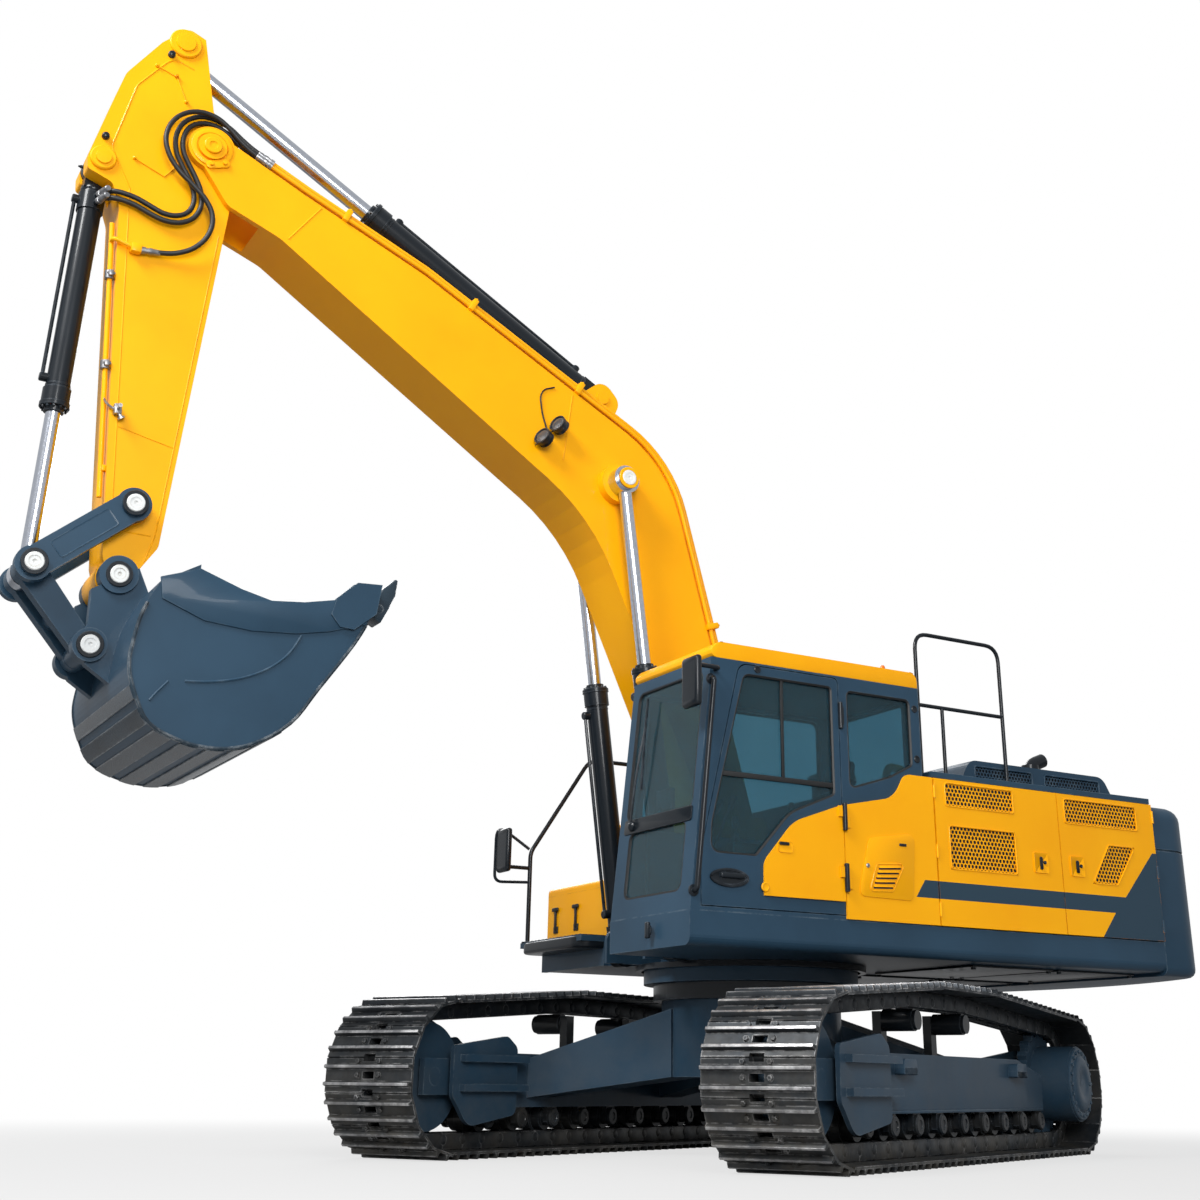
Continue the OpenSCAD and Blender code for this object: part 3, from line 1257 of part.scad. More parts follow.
// Bucket linkage: the rockers turn on the arm, the link joins them to the bucket
bucket_at = arm_place(arm_tip);
link_angle = -76;
link_at = bucket_at + polar(bucket_lever, link_angle);
rocker_at = arm_place(rocker_base);
joint_at = meet(rocker_at, rocker_length, link_at, link_length);
rocker_t = 60;
rocker_y = 225;
rocker_r = 110;
stub_gap = 66;
link_y = [74, 170];
link_boss_w = 300;
dig_at = arm_place(dig_base);
module plate_between(p, q, rp, rq, y) {
  d = norm(q - p);
  translate([p[0], 0, p[1]]) rotate([0, -heading(p, q), 0]) {
    round_y([0, 0], rp, y);
    round_y([d, 0], rq, y);
    along_y([[0, -rp * 0.9], [d, -rq * 0.9], [d, rq * 0.9], [0, rp * 0.9]], y);
  }
}
module rocker_links() {
  color(slate) union() {
    both_sides() {
      plate_between(rocker_at, joint_at, rocker_r, rocker_r, [rocker_y, rocker_y + rocker_t]);
      round_y(joint_at, rocker_pin_r, [stub_gap, rocker_y + rocker_t + pin_cap_t]);
      round_y(joint_at, pin_cap_r * 0.8, [rocker_y + rocker_t - weld, rocker_y + rocker_t + pin_cap_t]);
      round_y(rocker_at, pin_cap_r * 0.8, [rocker_y + rocker_t - weld, rocker_y + rocker_t + pin_cap_t]);
    }
    round_y(rocker_at, rocker_pin_r, span(0, 2 * rocker_y + 2 * rocker_t));
  }
}
link_share = 0.45;
link_eye_r = [95, 80];
link_boss_r = 78;
link_bar_r = 60;
module bucket_link() {
  color(slate) union() {
    difference() {
      both_sides() plate_between(joint_at, link_at, link_eye_r[0], link_eye_r[1], link_y);
      round_y(joint_at, rocker_pin_r + pin_clear, span(0, 2 * arm_w));
    }
    round_y(link_at, link_boss_r, span(0, link_boss_w));
    round_y(link_at * (1 - link_share) + joint_at * link_share, link_bar_r,
      span(0, 2 * link_y[0] + 2 * weld));
  }
}
dig_r = 78;
dig_length = 1780;
dig_eye_r = 95;
port_r = 22;
port_root_share = 0.92;
band_bore_share = 0.8;
port_band_r = 88;
port_band_w = 130;
// A hose port on the barrel, facing the end of its hose
module port(end) {
  e = turn(flat(end) - dig_at, -heading(dig_at, joint_at));
  root = dig_r * port_root_share;
  translate([e[0], 0, 0]) rotate([-atan2(end[1], e[1]), 0, 0]) translate([0, 0, root])
    cylinder(r = port_r, h = norm([e[1], end[1]]) - seat_gap - root);
}
module bucket_cylinder_barrel() {
  ends = [last(hose_lower), last(hose_upper)];
  band = norm(flat(ends[0] + ends[1]) / 2 - dig_at);
  color(black) union() {
    barrel(dig_at, joint_at, 0, dig_r, dig_length, dig_eye_r, dig_eye_w, dig_pin_r, ram_collar);
    between_pins(dig_at, joint_at, 0) {
      for (end = ends) port(end);
      rotate([0, 90, 0]) translate([0, 0, band - port_band_w / 2]) difference() {
        cylinder(r = port_band_r, h = port_band_w);
        translate([0, 0, -cut]) cylinder(r = dig_r * band_bore_share, h = port_band_w + 2 * cut);
      }
    }
  }
}
module bucket_cylinder_rod() {
  rod(dig_at, joint_at, 0, dig_r, dig_length, dig_eye_r, dig_eye_w, ram_collar);
}

// Bucket: curved wrapper between two side plates, hinge ears at the back, teeth on the lip
bucket_depth = 1092;
wrap_shares = [
  [-0.80, -0.32], [-0.68, -0.61], [-0.59, -0.82], [-0.46, -0.957], [-0.34, -1], [-0.22, -0.98],
  [-0.105, -0.9],
  [-0.044, -0.74], [-0.018, -0.61], [-0.02, -0.48], [-0.04, -0.3], [-0.09, -0.12]
];
wrap = smooth([for (s = wrap_shares) [s[0] * bucket_reach, s[1] * bucket_depth]]);
lip_share = [-0.86, -0.13];
lip = [lip_share[0] * bucket_reach, lip_share[1] * bucket_depth];
rim_shares = [[-0.22, -0.02], [-0.37, -0.1], [-0.48, -0.14], [-0.6, -0.12], [-0.71, -0.08], [-0.78, 0.03],
  [-0.87, 0.04]];
rim = [for (s = rim_shares) [s[0] * bucket_reach, s[1] * bucket_depth]];
side_t = 32;
ear_y = [198, 262];
ear_shares = [
  [0.085, -0.1], [0.08, -0.3], [0.11, -0.42], [0.07, -0.53], [-0.02, -0.62], [-0.03, -0.5], [-0.05, -0.3],
  [-0.12, -0.1], [-0.07, 0.06]
];
ear = [for (s = ear_shares) [s[0] * bucket_reach, s[1] * bucket_depth]];
ear_boss_r = [120, 105];
cutter_t = 24;
cutter_shares = [
  [-0.885, 0.05], [-0.79, 0.04], [-0.715, -0.07], [-0.7, -0.17], [-0.735, -0.235], [-0.79, -0.24],
  [-0.87, -0.13]
];
cutter = [for (s = cutter_shares) [s[0] * bucket_reach, s[1] * bucket_depth]];
module in_bucket() { translate([bucket_at[0], 0, bucket_at[1]]) children(); }
module bucket() {
  run = concat([lip], wrap);
  inner = beside(run, wrapper_t);
  color(slate) in_bucket() union() {
    along_y(concat(run, reversed(inner)), span(0, bucket_w));
    both_sides() {
      along_y(concat(run, rim), [bucket_w / 2 - side_t, bucket_w / 2]);
      along_y(cutter, [bucket_w / 2 - weld, bucket_w / 2 + cutter_t]);
      along_y(ear, ear_y);
      round_y([0, 0], ear_boss_r[0], [ear_y[0], ear_y[1] + pin_cap_t]);
      round_y(link_at - bucket_at, ear_boss_r[1], [ear_y[0], ear_y[1] + pin_cap_t]);
    }
    along_y([wrap[len(wrap) - 1], inner[len(inner) - 1] , rim[0], rim[0] + [0, wrapper_t]],
      span(0, bucket_w));
    round_y([0, 0], bucket_pin_r, span(0, 2 * ear_y[1]));
  }
}
tooth_n = 5;
tooth_base_w = 150;
tooth_l = 330;
tooth_base_z = [-30, 80];
tooth_tip_z = [10, 30];
module bucket_teeth() {
  a = heading(wrap[0], lip);
  color(black) in_bucket() for (n = [0:tooth_n - 1]) {
    y = (bucket_w - 2 * side_t - 2 * run_gap - tooth_base_w) * (n / (tooth_n - 1) - 1 / 2);
    translate([lip[0], y, lip[1]]) rotate([0, -a, 0])
      along_y([[seat_gap, tooth_base_z[0]], [tooth_l, tooth_tip_z[0]], [tooth_l, tooth_tip_z[1]],
        [seat_gap, tooth_base_z[1]]],
        span(0, tooth_base_w));
  }
}

under() track();  // track_left
under() mirror([0, 1, 0]) track();  // track_right
under() track_frame();  // track_frame_left
under() mirror([0, 1, 0]) track_frame();  // track_frame_right
idlers();
sprockets();
track_rollers();
carrier_rollers();
carbody();
slewing_bearing();
upper_frame();
counterweight();
engine_bay_frame();
engine();
bay_deck();
hood();
exhaust_stack();
side_panel_left();
side_door_left_front();
side_door_left_rear();
side_door_right_front();
side_door_right_rear();
fuel_tank();
tool_box();
tool_box_lid();
right_step();
right_handrail();
rear_handrail();
cab_frame();
cab_roof();
cab_glass();
cab_door();
cab_door_panel();
cab_door_glass();
operator_seat();
control_consoles();
cab_grab_rail();
mirrors();
boom();
boom_pipes();
boom_lamps();
arm_hose_pipe();
arm_hose_lower();
arm_hose_upper();
boom_cylinder_barrel_left();
boom_cylinder_rod_left();
boom_cylinder_barrel_right();
boom_cylinder_rod_right();
arm_cylinder_barrel();
arm_cylinder_rod();
arm();
arm_pipes();
bucket_cylinder_barrel();
bucket_cylinder_rod();
rocker_links();
bucket_link();
bucket();
bucket_teeth();
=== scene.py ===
# %% [markdown]
# # A crawler excavator, dressed
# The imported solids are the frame: they hold every size and every joint. This lesson gives them their
# paint, steel, glass and rubber, and adds the small pieces that are too fine for the solids: shoes
# with their bolts, hoses, mesh grilles, seals, latches, caps and lamps.

# %% Load the frame
import math
import json
import bpy
from mathutils import Matrix, Vector


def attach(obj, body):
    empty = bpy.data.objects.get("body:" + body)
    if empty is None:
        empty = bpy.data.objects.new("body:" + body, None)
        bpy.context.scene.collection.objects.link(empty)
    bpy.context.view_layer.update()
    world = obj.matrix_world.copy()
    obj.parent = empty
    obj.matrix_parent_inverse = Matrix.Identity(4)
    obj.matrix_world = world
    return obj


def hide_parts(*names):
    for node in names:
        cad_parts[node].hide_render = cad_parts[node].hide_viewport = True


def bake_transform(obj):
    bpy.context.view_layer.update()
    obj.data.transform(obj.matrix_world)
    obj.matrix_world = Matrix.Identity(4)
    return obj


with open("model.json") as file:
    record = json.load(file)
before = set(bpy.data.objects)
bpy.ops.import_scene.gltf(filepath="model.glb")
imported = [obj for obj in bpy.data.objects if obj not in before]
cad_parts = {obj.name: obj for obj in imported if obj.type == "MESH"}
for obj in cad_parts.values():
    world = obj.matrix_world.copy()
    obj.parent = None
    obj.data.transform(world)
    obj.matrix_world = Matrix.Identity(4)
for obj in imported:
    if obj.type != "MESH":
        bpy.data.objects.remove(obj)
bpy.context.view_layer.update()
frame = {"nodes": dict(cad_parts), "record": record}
nodes = frame["nodes"]

# %% [markdown]
# ## Camera
# The view stands low in front of the machine on its left and looks up along the boom. The place, the
# direction and the lens come from matching known points of the machine with the picture. A small
# shift keeps the framing, because the picture is a crop of a taller view.

# %% Camera
def aim(yaw, pitch, roll):
    forward = Vector((math.cos(yaw) * math.cos(pitch), math.sin(yaw) * math.cos(pitch), math.sin(pitch)))
    right = forward.cross(Vector((0, 0, 1))).normalized()
    up = right.cross(forward)
    tilted = right * math.cos(roll) + up * math.sin(roll)
    return forward, tilted, tilted.cross(forward)


bpy.ops.object.select_all(action="DESELECT")
bpy.ops.object.camera_add()
camera = bpy.context.object
camera.name = "camera"
forward, right, up = aim(math.radians(239.92), math.radians(22.33), 0.01)
turned = Matrix((right, up, -forward)).transposed().to_4x4()
camera.matrix_world = Matrix.Translation((6.793, 10.133, 0.445)) @ turned
camera.data.lens = 47.98
camera.data.sensor_width = 36
camera.data.shift_x = -0.0376
camera.data.shift_y = -0.143
camera.data.clip_end = 400
bpy.context.scene.camera = camera
print("camera at", [round(v, 2) for v in camera.location])

# %% [markdown]
# ## Node helpers
# Every look on this machine is a small tree of nodes. A few short helpers keep the trees readable:
# one feeds a socket from a number, a colour or another node, the others add sums, noise and mixes.
# Colours are given as they are read off a screen and made linear where they are mixed.

# %% Node helpers
def feed(tree, socket, v):
    if isinstance(v, (int, float)):
        socket.default_value = v
    elif isinstance(v, tuple):
        socket.default_value = (*v, 1)
    else:
        tree.links.new(v, socket)


def math_node(tree, how, a, b, clamp=False):
    n = tree.nodes.new("ShaderNodeMath")
    n.operation = how
    n.use_clamp = clamp
    feed(tree, n.inputs[0], a)
    feed(tree, n.inputs[1], b)
    return n.outputs[0]


def noise_node(tree, place, scale, detail, rough=0.5):
    n = tree.nodes.new("ShaderNodeTexNoise")
    for key, v in (("Vector", place), ("Scale", scale), ("Detail", detail), ("Roughness", rough)):
        feed(tree, n.inputs[key], v)
    return n.outputs["Fac"]


def spread(tree, value, low, high):
    n = tree.nodes.new("ShaderNodeMapRange")
    for key, v in (("Value", value), ("From Min", low), ("From Max", high)):
        feed(tree, n.inputs[key], v)
    return n.outputs["Result"]


def linear(rgb):
    shares = [c / 255 for c in rgb]
    return tuple(c / 12.92 if c <= 0.04045 else ((c + 0.055) / 1.055) ** 2.4 for c in shares)


def mix_colour(tree, fac, a, b):
    n = tree.nodes.new("ShaderNodeMix")
    n.data_type = "RGBA"
    for key, v in (("Factor", fac), ("A", a), ("B", b)):
        feed(tree, n.inputs[key], linear(v) if isinstance(v, tuple) else v)
    return n.outputs["Result"]


def mix_shader(tree, fac, a, b, output):
    n = tree.nodes.new("ShaderNodeMixShader")
    for socket, v in zip(n.inputs, (fac, a.outputs[0], b.outputs[0])):
        tree.links.new(v, socket)
    tree.links.new(n.outputs[0], tree.nodes[output].inputs["Surface"])


def seen_rays(tree):
    ray = tree.nodes.new("ShaderNodeLightPath").outputs
    return ray, math_node(tree, "MAXIMUM", ray["Is Camera Ray"], ray["Is Transmission Ray"])


print("node helpers ready")

# %% [markdown]
# ## Studio
# A pale floor and an even, pale surround keep the colours as they are painted. One broad lamp high in
# front models the boom and the bucket, two weaker ones lift the dark house. Far from the machine the
# floor runs into the white of the surround, and near it the floor stays matt and takes its shadow.

# %% Floor, surround and lamps
bpy.ops.mesh.primitive_plane_add(size=160, location=(0, 0, -0.002))
floor = bpy.context.object
floor.name = "studio_floor"
floor_mat = bpy.data.materials.new("studio_floor")
floor_mat.use_nodes = True
floor.data.materials.append(floor_mat)

ft = floor_mat.node_tree
near = ft.nodes["Principled BSDF"]
feed(ft, near.inputs["Base Color"], (0.3, 0.3, 0.3))
feed(ft, near.inputs["Roughness"], 0.9)
reach = ft.nodes.new("ShaderNodeVectorMath")
reach.operation = "LENGTH"
ft.links.new(ft.nodes.new("ShaderNodeTexCoord").outputs["Object"], reach.inputs[0])
fade = ft.nodes.new("ShaderNodeMapRange")
fade.interpolation_type = "SMOOTHSTEP"
for key, v in (("Value", reach.outputs["Value"]), ("From Min", 4.0), ("From Max", 13.0),
               ("To Min", 0.7), ("To Max", 1.0)):
    feed(ft, fade.inputs[key], v)
ray, seen = seen_rays(ft)
far = ft.nodes.new("ShaderNodeEmission")
mix_shader(ft, math_node(ft, "MULTIPLY", fade.outputs["Result"], seen), near, far, "Material Output")

world = bpy.data.worlds.new("studio")
bpy.context.scene.world = world
world.use_nodes = True
wt = world.node_tree
grey, white = wt.nodes["Background"], wt.nodes.new("ShaderNodeBackground")
for sky, colour, strength in ((grey, (0.93, 0.96, 1.0), 0.42), (white, (1, 1, 1), 1.0)):
    feed(wt, sky.inputs["Color"], colour)
    feed(wt, sky.inputs["Strength"], strength)
ray, seen = seen_rays(wt)
shine = math_node(wt, "MULTIPLY", ray["Is Glossy Ray"], 0.3)
mix_shader(wt, math_node(wt, "MAXIMUM", seen, shine), grey, white, "World Output")
bpy.context.scene.view_settings.view_transform = "Standard"


def area_lamp(name, place, target, size, power):
    bpy.ops.object.light_add(type="AREA", location=place)
    lamp = bpy.context.object
    lamp.name = name
    lamp.data.shape = "DISK"
    lamp.data.size = size
    lamp.data.energy = power
    lamp.rotation_euler = (Vector(target) - Vector(place)).to_track_quat("-Z", "Y").to_euler()


area_lamp("key_lamp", (14, 5, 14), (1, 0, 2.5), 6, 2750)
area_lamp("side_lamp", (7, 15, 7), (-1, 0, 2), 7, 1500)
area_lamp("back_lamp", (-4, -14, 10), (1, 0, 3), 10, 1100)
print("studio lit")

# %% [markdown]
# ## Shared effects
# Paint on a work machine is never one flat colour. Three effects come back in several finishes, so
# each is a node group with its own sockets: soft cloudy variation, thin worn edges, and dust that
# gathers towards the ground. All of them read Object coordinates, so they stay put on the pieces.

# %% Node groups
def new_group(name, result, **values):
    g = bpy.data.node_groups.new(name, "ShaderNodeTree")
    g.interface.new_socket("Place", in_out="INPUT", socket_type="NodeSocketVector")
    for label, v in values.items():
        g.interface.new_socket(label, in_out="INPUT", socket_type="NodeSocketFloat").default_value = v
    g.interface.new_socket(result, in_out="OUTPUT", socket_type="NodeSocketFloat")
    return g, g.nodes.new("NodeGroupInput").outputs, g.nodes.new("NodeGroupOutput").inputs


cloud, given, result = new_group("cloudy", "Cloud", Scale=1.0)
big = noise_node(cloud, given["Place"], given["Scale"], 4.0, 0.55)
feed(cloud, result["Cloud"], spread(cloud, big, 0.32, 0.68))

worn, given, result = new_group("worn_edge", "Worn", Width=0.012)
soft = worn.nodes.new("ShaderNodeBevel")
soft.samples = 4
feed(worn, soft.inputs["Radius"], given["Width"])
dot = worn.nodes.new("ShaderNodeVectorMath")
dot.operation = "DOT_PRODUCT"
feed(worn, dot.inputs[0], soft.outputs["Normal"])
feed(worn, dot.inputs[1], worn.nodes.new("ShaderNodeNewGeometry").outputs["Normal"])
edge = spread(worn, math_node(worn, "SUBTRACT", 1.0, dot.outputs["Value"]), 0.02, 0.16)
chips = spread(worn, noise_node(worn, given["Place"], 9.0, 6.0, 0.7), 0.44, 0.62)
feed(worn, result["Worn"], math_node(worn, "MULTIPLY", edge, chips, True))

dusty, given, result = new_group("ground_dust", "Dust", Top=1.4)
sep = dusty.nodes.new("ShaderNodeSeparateXYZ")
feed(dusty, sep.inputs[0], given["Place"])
height = math_node(dusty, "DIVIDE", sep.outputs["Z"], given["Top"])
low = math_node(dusty, "SUBTRACT", 1.0, height, True)
grain = spread(dusty, noise_node(dusty, given["Place"], 3.2, 8.0, 0.65), 0.35, 0.75)
feed(dusty, result["Dust"], math_node(dusty, "MULTIPLY", low, grain, True))
print("node groups", [g.name for g in bpy.data.node_groups])

# %% [markdown]
# ## The dark band
# The yellow doors carry a dark band that rises at the back and takes in the whole rear corner. It is
# painted, not cut, so it is a mask on the side view: each straight edge of the band is one test of a
# point against a line, and the tests are multiplied or joined to give the painted field.

# %% Band mask
livery, given, result = new_group("livery_band", "Band")
sep = livery.nodes.new("ShaderNodeSeparateXYZ")
feed(livery, sep.inputs[0], given["Place"])
px, pz = sep.outputs["X"], sep.outputs["Z"]


def behind(start, end):
    run, rise = end[0] - start[0], end[1] - start[1]
    up, back = math_node(livery, "MULTIPLY", pz, run), math_node(livery, "MULTIPLY", px, rise)
    side = math_node(livery, "SUBTRACT", up, back)
    return math_node(livery, "GREATER_THAN", side, run * start[1] - rise * start[0])


def above(z):
    return math_node(livery, "GREATER_THAN", pz, z)


def below(z):
    return math_node(livery, "LESS_THAN", pz, z)


def both(whole, *tests):
    for test in tests:
        whole = math_node(livery, "MULTIPLY", whole, test)
    return whole


stripe = both(above(1.625), below(1.74), behind((-0.346, 1.632), (-0.422, 1.74)))
rising = both(above(1.735), below(2.075), behind((-2.288, 1.741), (-2.597, 2.068)))
falling = both(below(1.63), behind((-2.045, 1.473), (-2.169, 1.623)))
corner = math_node(livery, "MAXIMUM", rising, falling)
feed(livery, result["Band"], math_node(livery, "MAXIMUM", stripe, corner))
print("band mask ready")

# %% [markdown]
# ## Finishes
# Each finish starts from the colour seen in daylight. Paint gets a clear coat with fine orange peel,
# cast steel gets a rough skin and bright rubbed spots, chrome stays nearly plain.

# %% Paint and metal finishes
DUST, DUST_TOP = (150, 138, 118), 1.2


def group_node(tree, group, **values):
    n = tree.nodes.new("ShaderNodeGroup")
    n.node_tree = group
    for key, v in values.items():
        feed(tree, n.inputs[key], v)
    return n.outputs[0]


def start_finish(name):
    m = bpy.data.materials.new(name)
    m.use_nodes = True
    tree = m.node_tree
    place = tree.nodes.new("ShaderNodeTexCoord").outputs["Object"]
    return m, tree, tree.nodes["Principled BSDF"].inputs, place


def bump(tree, shader, height, strength, distance):
    b = tree.nodes.new("ShaderNodeBump")
    for key, v in (("Strength", strength), ("Distance", distance), ("Height", height)):
        feed(tree, b.inputs[key], v)
    feed(tree, shader["Normal"], b.outputs["Normal"])


def weathered(t, place, base, chip, wear, dust):
    base = mix_colour(t, group_node(t, worn, Place=place, Width=wear), base, chip)
    film = math_node(t, "MULTIPLY", group_node(t, dusty, Place=place, Top=DUST_TOP), dust)
    return mix_colour(t, film, base, DUST), film


def rougher(t, shader, grain, share, rough):
    grain = math_node(t, "MULTIPLY", grain, share)
    feed(t, shader["Roughness"], math_node(t, "ADD", grain, rough - share / 2, True))


def paint(name, colour, shade, chip, rough=0.4, coat=0.12, wear=0.012, dust=0.25, band=None):
    m, t, s, place = start_finish(name)
    base = mix_colour(t, group_node(t, cloud, Place=place, Scale=1.3), colour, shade)
    if band:
        base = mix_colour(t, group_node(t, livery, Place=place), base, band)
    base, film = weathered(t, place, base, chip, wear, dust)
    fine = noise_node(t, place, 160.0, 2.0)
    dull = math_node(t, "ADD", math_node(t, "MULTIPLY", film, 0.9), math_node(t, "MULTIPLY", fine, 0.08))
    for key, v in (("Base Color", base), ("Roughness", math_node(t, "ADD", dull, rough - 0.04, True)),
                   ("Coat Weight", coat), ("Coat Roughness", 0.08), ("Specular IOR Level", 0.15)):
        feed(t, s[key], v)
    bump(t, s, fine, 0.03, 0.002)
    return m


YELLOW = ((253, 178, 4), (248, 168, 2), (190, 120, 20))
yellow_paint = paint("yellow_paint", *YELLOW, wear=0.006, dust=0.02)
banded_paint = paint("banded_paint", *YELLOW, wear=0.006, dust=0.02, band=(43, 64, 79))
slate_paint = paint("slate_paint", (44, 70, 90), (38, 61, 79), (92, 108, 120), dust=0.16)
black_paint = paint("black_paint", (24, 30, 36), (17, 22, 27), (74, 82, 90), 0.34, 0.3, dust=0.12)
worn_slate = paint("worn_slate", (44, 60, 72), (30, 38, 45), (150, 156, 160), 0.28, 0.3, 0.02, 0.1)
lamp_glass = paint("lamp_glass", (62, 70, 78), (50, 58, 66), (120, 126, 130), 0.2, 0.6)
amber = paint("amber_lens", (232, 120, 24), (222, 108, 18), (236, 150, 60), 0.22, 0.6)
red_lens = paint("red_lens", (168, 26, 24), (150, 20, 20), (190, 60, 50), 0.22, 0.6)
white_cap = paint("white_cap", (226, 228, 226), (206, 208, 208), (150, 140, 120))


def steel(name, colour, shade, bright, rough, metal, scale=14.0, wear=0.014, dust=0.3):
    m, t, s, place = start_finish(name)
    skin = noise_node(t, place, scale, 7.0, 0.65)
    base = mix_colour(t, spread(t, skin, 0.3, 0.7), colour, shade)
    feed(t, s["Base Color"], weathered(t, place, base, bright, wear, dust)[0])
    feed(t, s["Metallic"], metal)
    rougher(t, s, skin, 0.3, rough)
    bump(t, s, skin, 0.12, 0.004)
    return m


track_steel = steel("track_steel", (52, 58, 64), (34, 39, 44), (176, 176, 176), 0.46, 0.55)
rubbed_steel = steel("rubbed_steel", (168, 168, 170), (120, 122, 126), (220, 220, 220), 0.4, 0.9)
chrome = steel("chrome_rod", (214, 218, 226), (190, 195, 206), (240, 240, 242), 0.2, 1.0, 40.0, 0.002, 0.0)
print("finishes", len(bpy.data.materials))

# %% [markdown]
# ## Glass, rubber, fabric and plastic
# The panes are tinted blue-green and let the seat and the far windows show through. They bend light
# only a little, as thin sheets do. Rubber and plastic are matt with a fine grain.

# %% Soft finishes
def tinted_glass(name, colour, shade):
    m, t, s, place = start_finish(name)
    haze = group_node(t, cloud, Place=place, Scale=1.1)
    film = math_node(t, "ADD", math_node(t, "MULTIPLY", haze, 0.02), 0.01)
    for key, v in (("Base Color", mix_colour(t, haze, colour, shade)), ("Roughness", film),
                   ("Transmission Weight", 0.92), ("IOR", 1.25)):
        feed(t, s[key], v)
    return m


def matt(name, colour, shade, rough, grain, depth):
    m, t, s, place = start_finish(name)
    fine = noise_node(t, place, grain, 4.0, 0.6)
    feed(t, s["Base Color"], mix_colour(t, spread(t, fine, 0.3, 0.7), colour, shade))
    rougher(t, s, fine, 0.2, rough)
    bump(t, s, fine, depth, 0.002)
    return m


FINISH = {
    "yellow_paint": yellow_paint, "slate_paint": slate_paint, "black_paint": black_paint,
    "track_steel": track_steel, "chrome_rod": chrome,
    "tinted_glass": tinted_glass("tinted_glass", (116, 158, 172), (104, 148, 164)),
    "hose_rubber": matt("hose_rubber", (22, 24, 26), (16, 17, 19), 0.5, 90.0, 0.1),
    "console_plastic": matt("console_plastic", (40, 42, 45), (32, 34, 37), 0.5, 220.0, 0.15),
    "seat_fabric": matt("seat_fabric", (44, 46, 50), (30, 31, 34), 0.85, 420.0, 0.4),
}
for part in frame["record"]["subparts"]:
    node = nodes[part["node"]]
    node.data.materials.clear()
    node.data.materials.append(FINISH[part["material_slot"]])
for name in ("side_panel_left", "fuel_tank", "side_door_left_front", "side_door_left_rear",
             "side_door_right_front", "side_door_right_rear"):
    nodes[name].data.materials[0] = banded_paint
print("nodes dressed", len(nodes))

# %% [markdown]
# ## Working by hand
# Each new piece starts as a primitive of its real size, is shaped in edit mode and then finished with
# a bevel. A few short helpers keep that readable: they clear the selection, pick faces by place or
# direction, and move a finished piece into its frame so that its mesh holds its place.

# %% Helpers for modelling
def clear():
    bpy.ops.object.select_all(action="DESELECT")


def activate(obj):
    clear()
    obj.select_set(True)
    bpy.context.view_layer.objects.active = obj


def settle(obj, matrix=None):
    activate(obj)
    if matrix is not None:
        obj.matrix_world = matrix @ obj.matrix_world
    bpy.ops.object.transform_apply(location=True, rotation=True, scale=True)
    return obj


def block(low, high):
    clear()
    middle = [(a + b) / 2 for a, b in zip(low, high)]
    size = [b - a for a, b in zip(low, high)]
    bpy.ops.mesh.primitive_cube_add(size=1, location=middle, scale=size)
    return settle(bpy.context.object)


def pick(obj, test, kind="FACE"):
    activate(obj)
    bpy.ops.object.mode_set(mode="EDIT")
    bpy.ops.mesh.select_mode(type=kind)
    bpy.ops.mesh.select_all(action="DESELECT")
    bpy.ops.object.mode_set(mode="OBJECT")
    if kind == "FACE":
        for face in obj.data.polygons:
            face.select = test(face.center, face.normal)
    else:
        for edge in obj.data.edges:
            edge.select = test(*(obj.data.vertices[k].co for k in edge.vertices))
    bpy.ops.object.mode_set(mode="EDIT")


def leave():
    bpy.ops.object.mode_set(mode="OBJECT")


def extrude(obj, test, move, shrink=1.0):
    pick(obj, test)
    bpy.ops.mesh.extrude_region_move(TRANSFORM_OT_translate={"value": move})
    if shrink != 1.0:
        bpy.ops.transform.resize(value=(shrink, shrink, shrink))
    leave()
    return obj


def inset(obj, test, rim, depth=0.0):
    pick(obj, test)
    bpy.ops.mesh.inset(thickness=rim, depth=depth)
    leave()
    return obj


SAME_PLACE = 0.00005


def bevel_edges(obj, test, width, segments):
    pick(obj, test, "EDGE")
    bpy.ops.mesh.bevel(offset=width, segments=segments, affect="EDGES")
    leave()
    return obj


def edit_all(obj):
    activate(obj)
    bpy.ops.object.mode_set(mode="EDIT")
    bpy.ops.mesh.select_all(action="SELECT")


def outward(obj):
    edit_all(obj)
    bpy.ops.mesh.remove_doubles(threshold=SAME_PLACE)
    bpy.ops.mesh.normals_make_consistent(inside=False)
    leave()
    return obj


def apply_modifier(obj, kind, **values):
    m = obj.modifiers.new(kind.lower(), kind)
    for key, v in values.items():
        setattr(m, key, v)
    activate(obj)
    bpy.ops.object.modifier_apply(modifier=m.name)
    return obj


def soften(obj, width, segments=2, angle=35):
    return apply_modifier(obj, "BEVEL", width=width, segments=segments, limit_method="ANGLE",
                          angle_limit=math.radians(angle), harden_normals=False)


def copy_of(obj, matrix):
    twin = obj.copy()
    twin.data = obj.data.copy()
    bpy.context.collection.objects.link(twin)
    return settle(twin, matrix)


def drop(obj):
    bpy.data.objects.remove(obj, do_unlink=True)


def copies(model, places):
    row = [copy_of(model, place) for place in places]
    drop(model)
    return row


def shift(x, y, z):
    return Matrix.Translation((x, y, z))


def spun(degrees, axis):
    return Matrix.Rotation(math.radians(degrees), 4, axis)


def joined(parts):
    clear()
    for p in parts:
        p.select_set(True)
    bpy.context.view_layer.objects.active = parts[0]
    if len(parts) > 1:
        bpy.ops.object.join()
    return bpy.context.object


added = {}


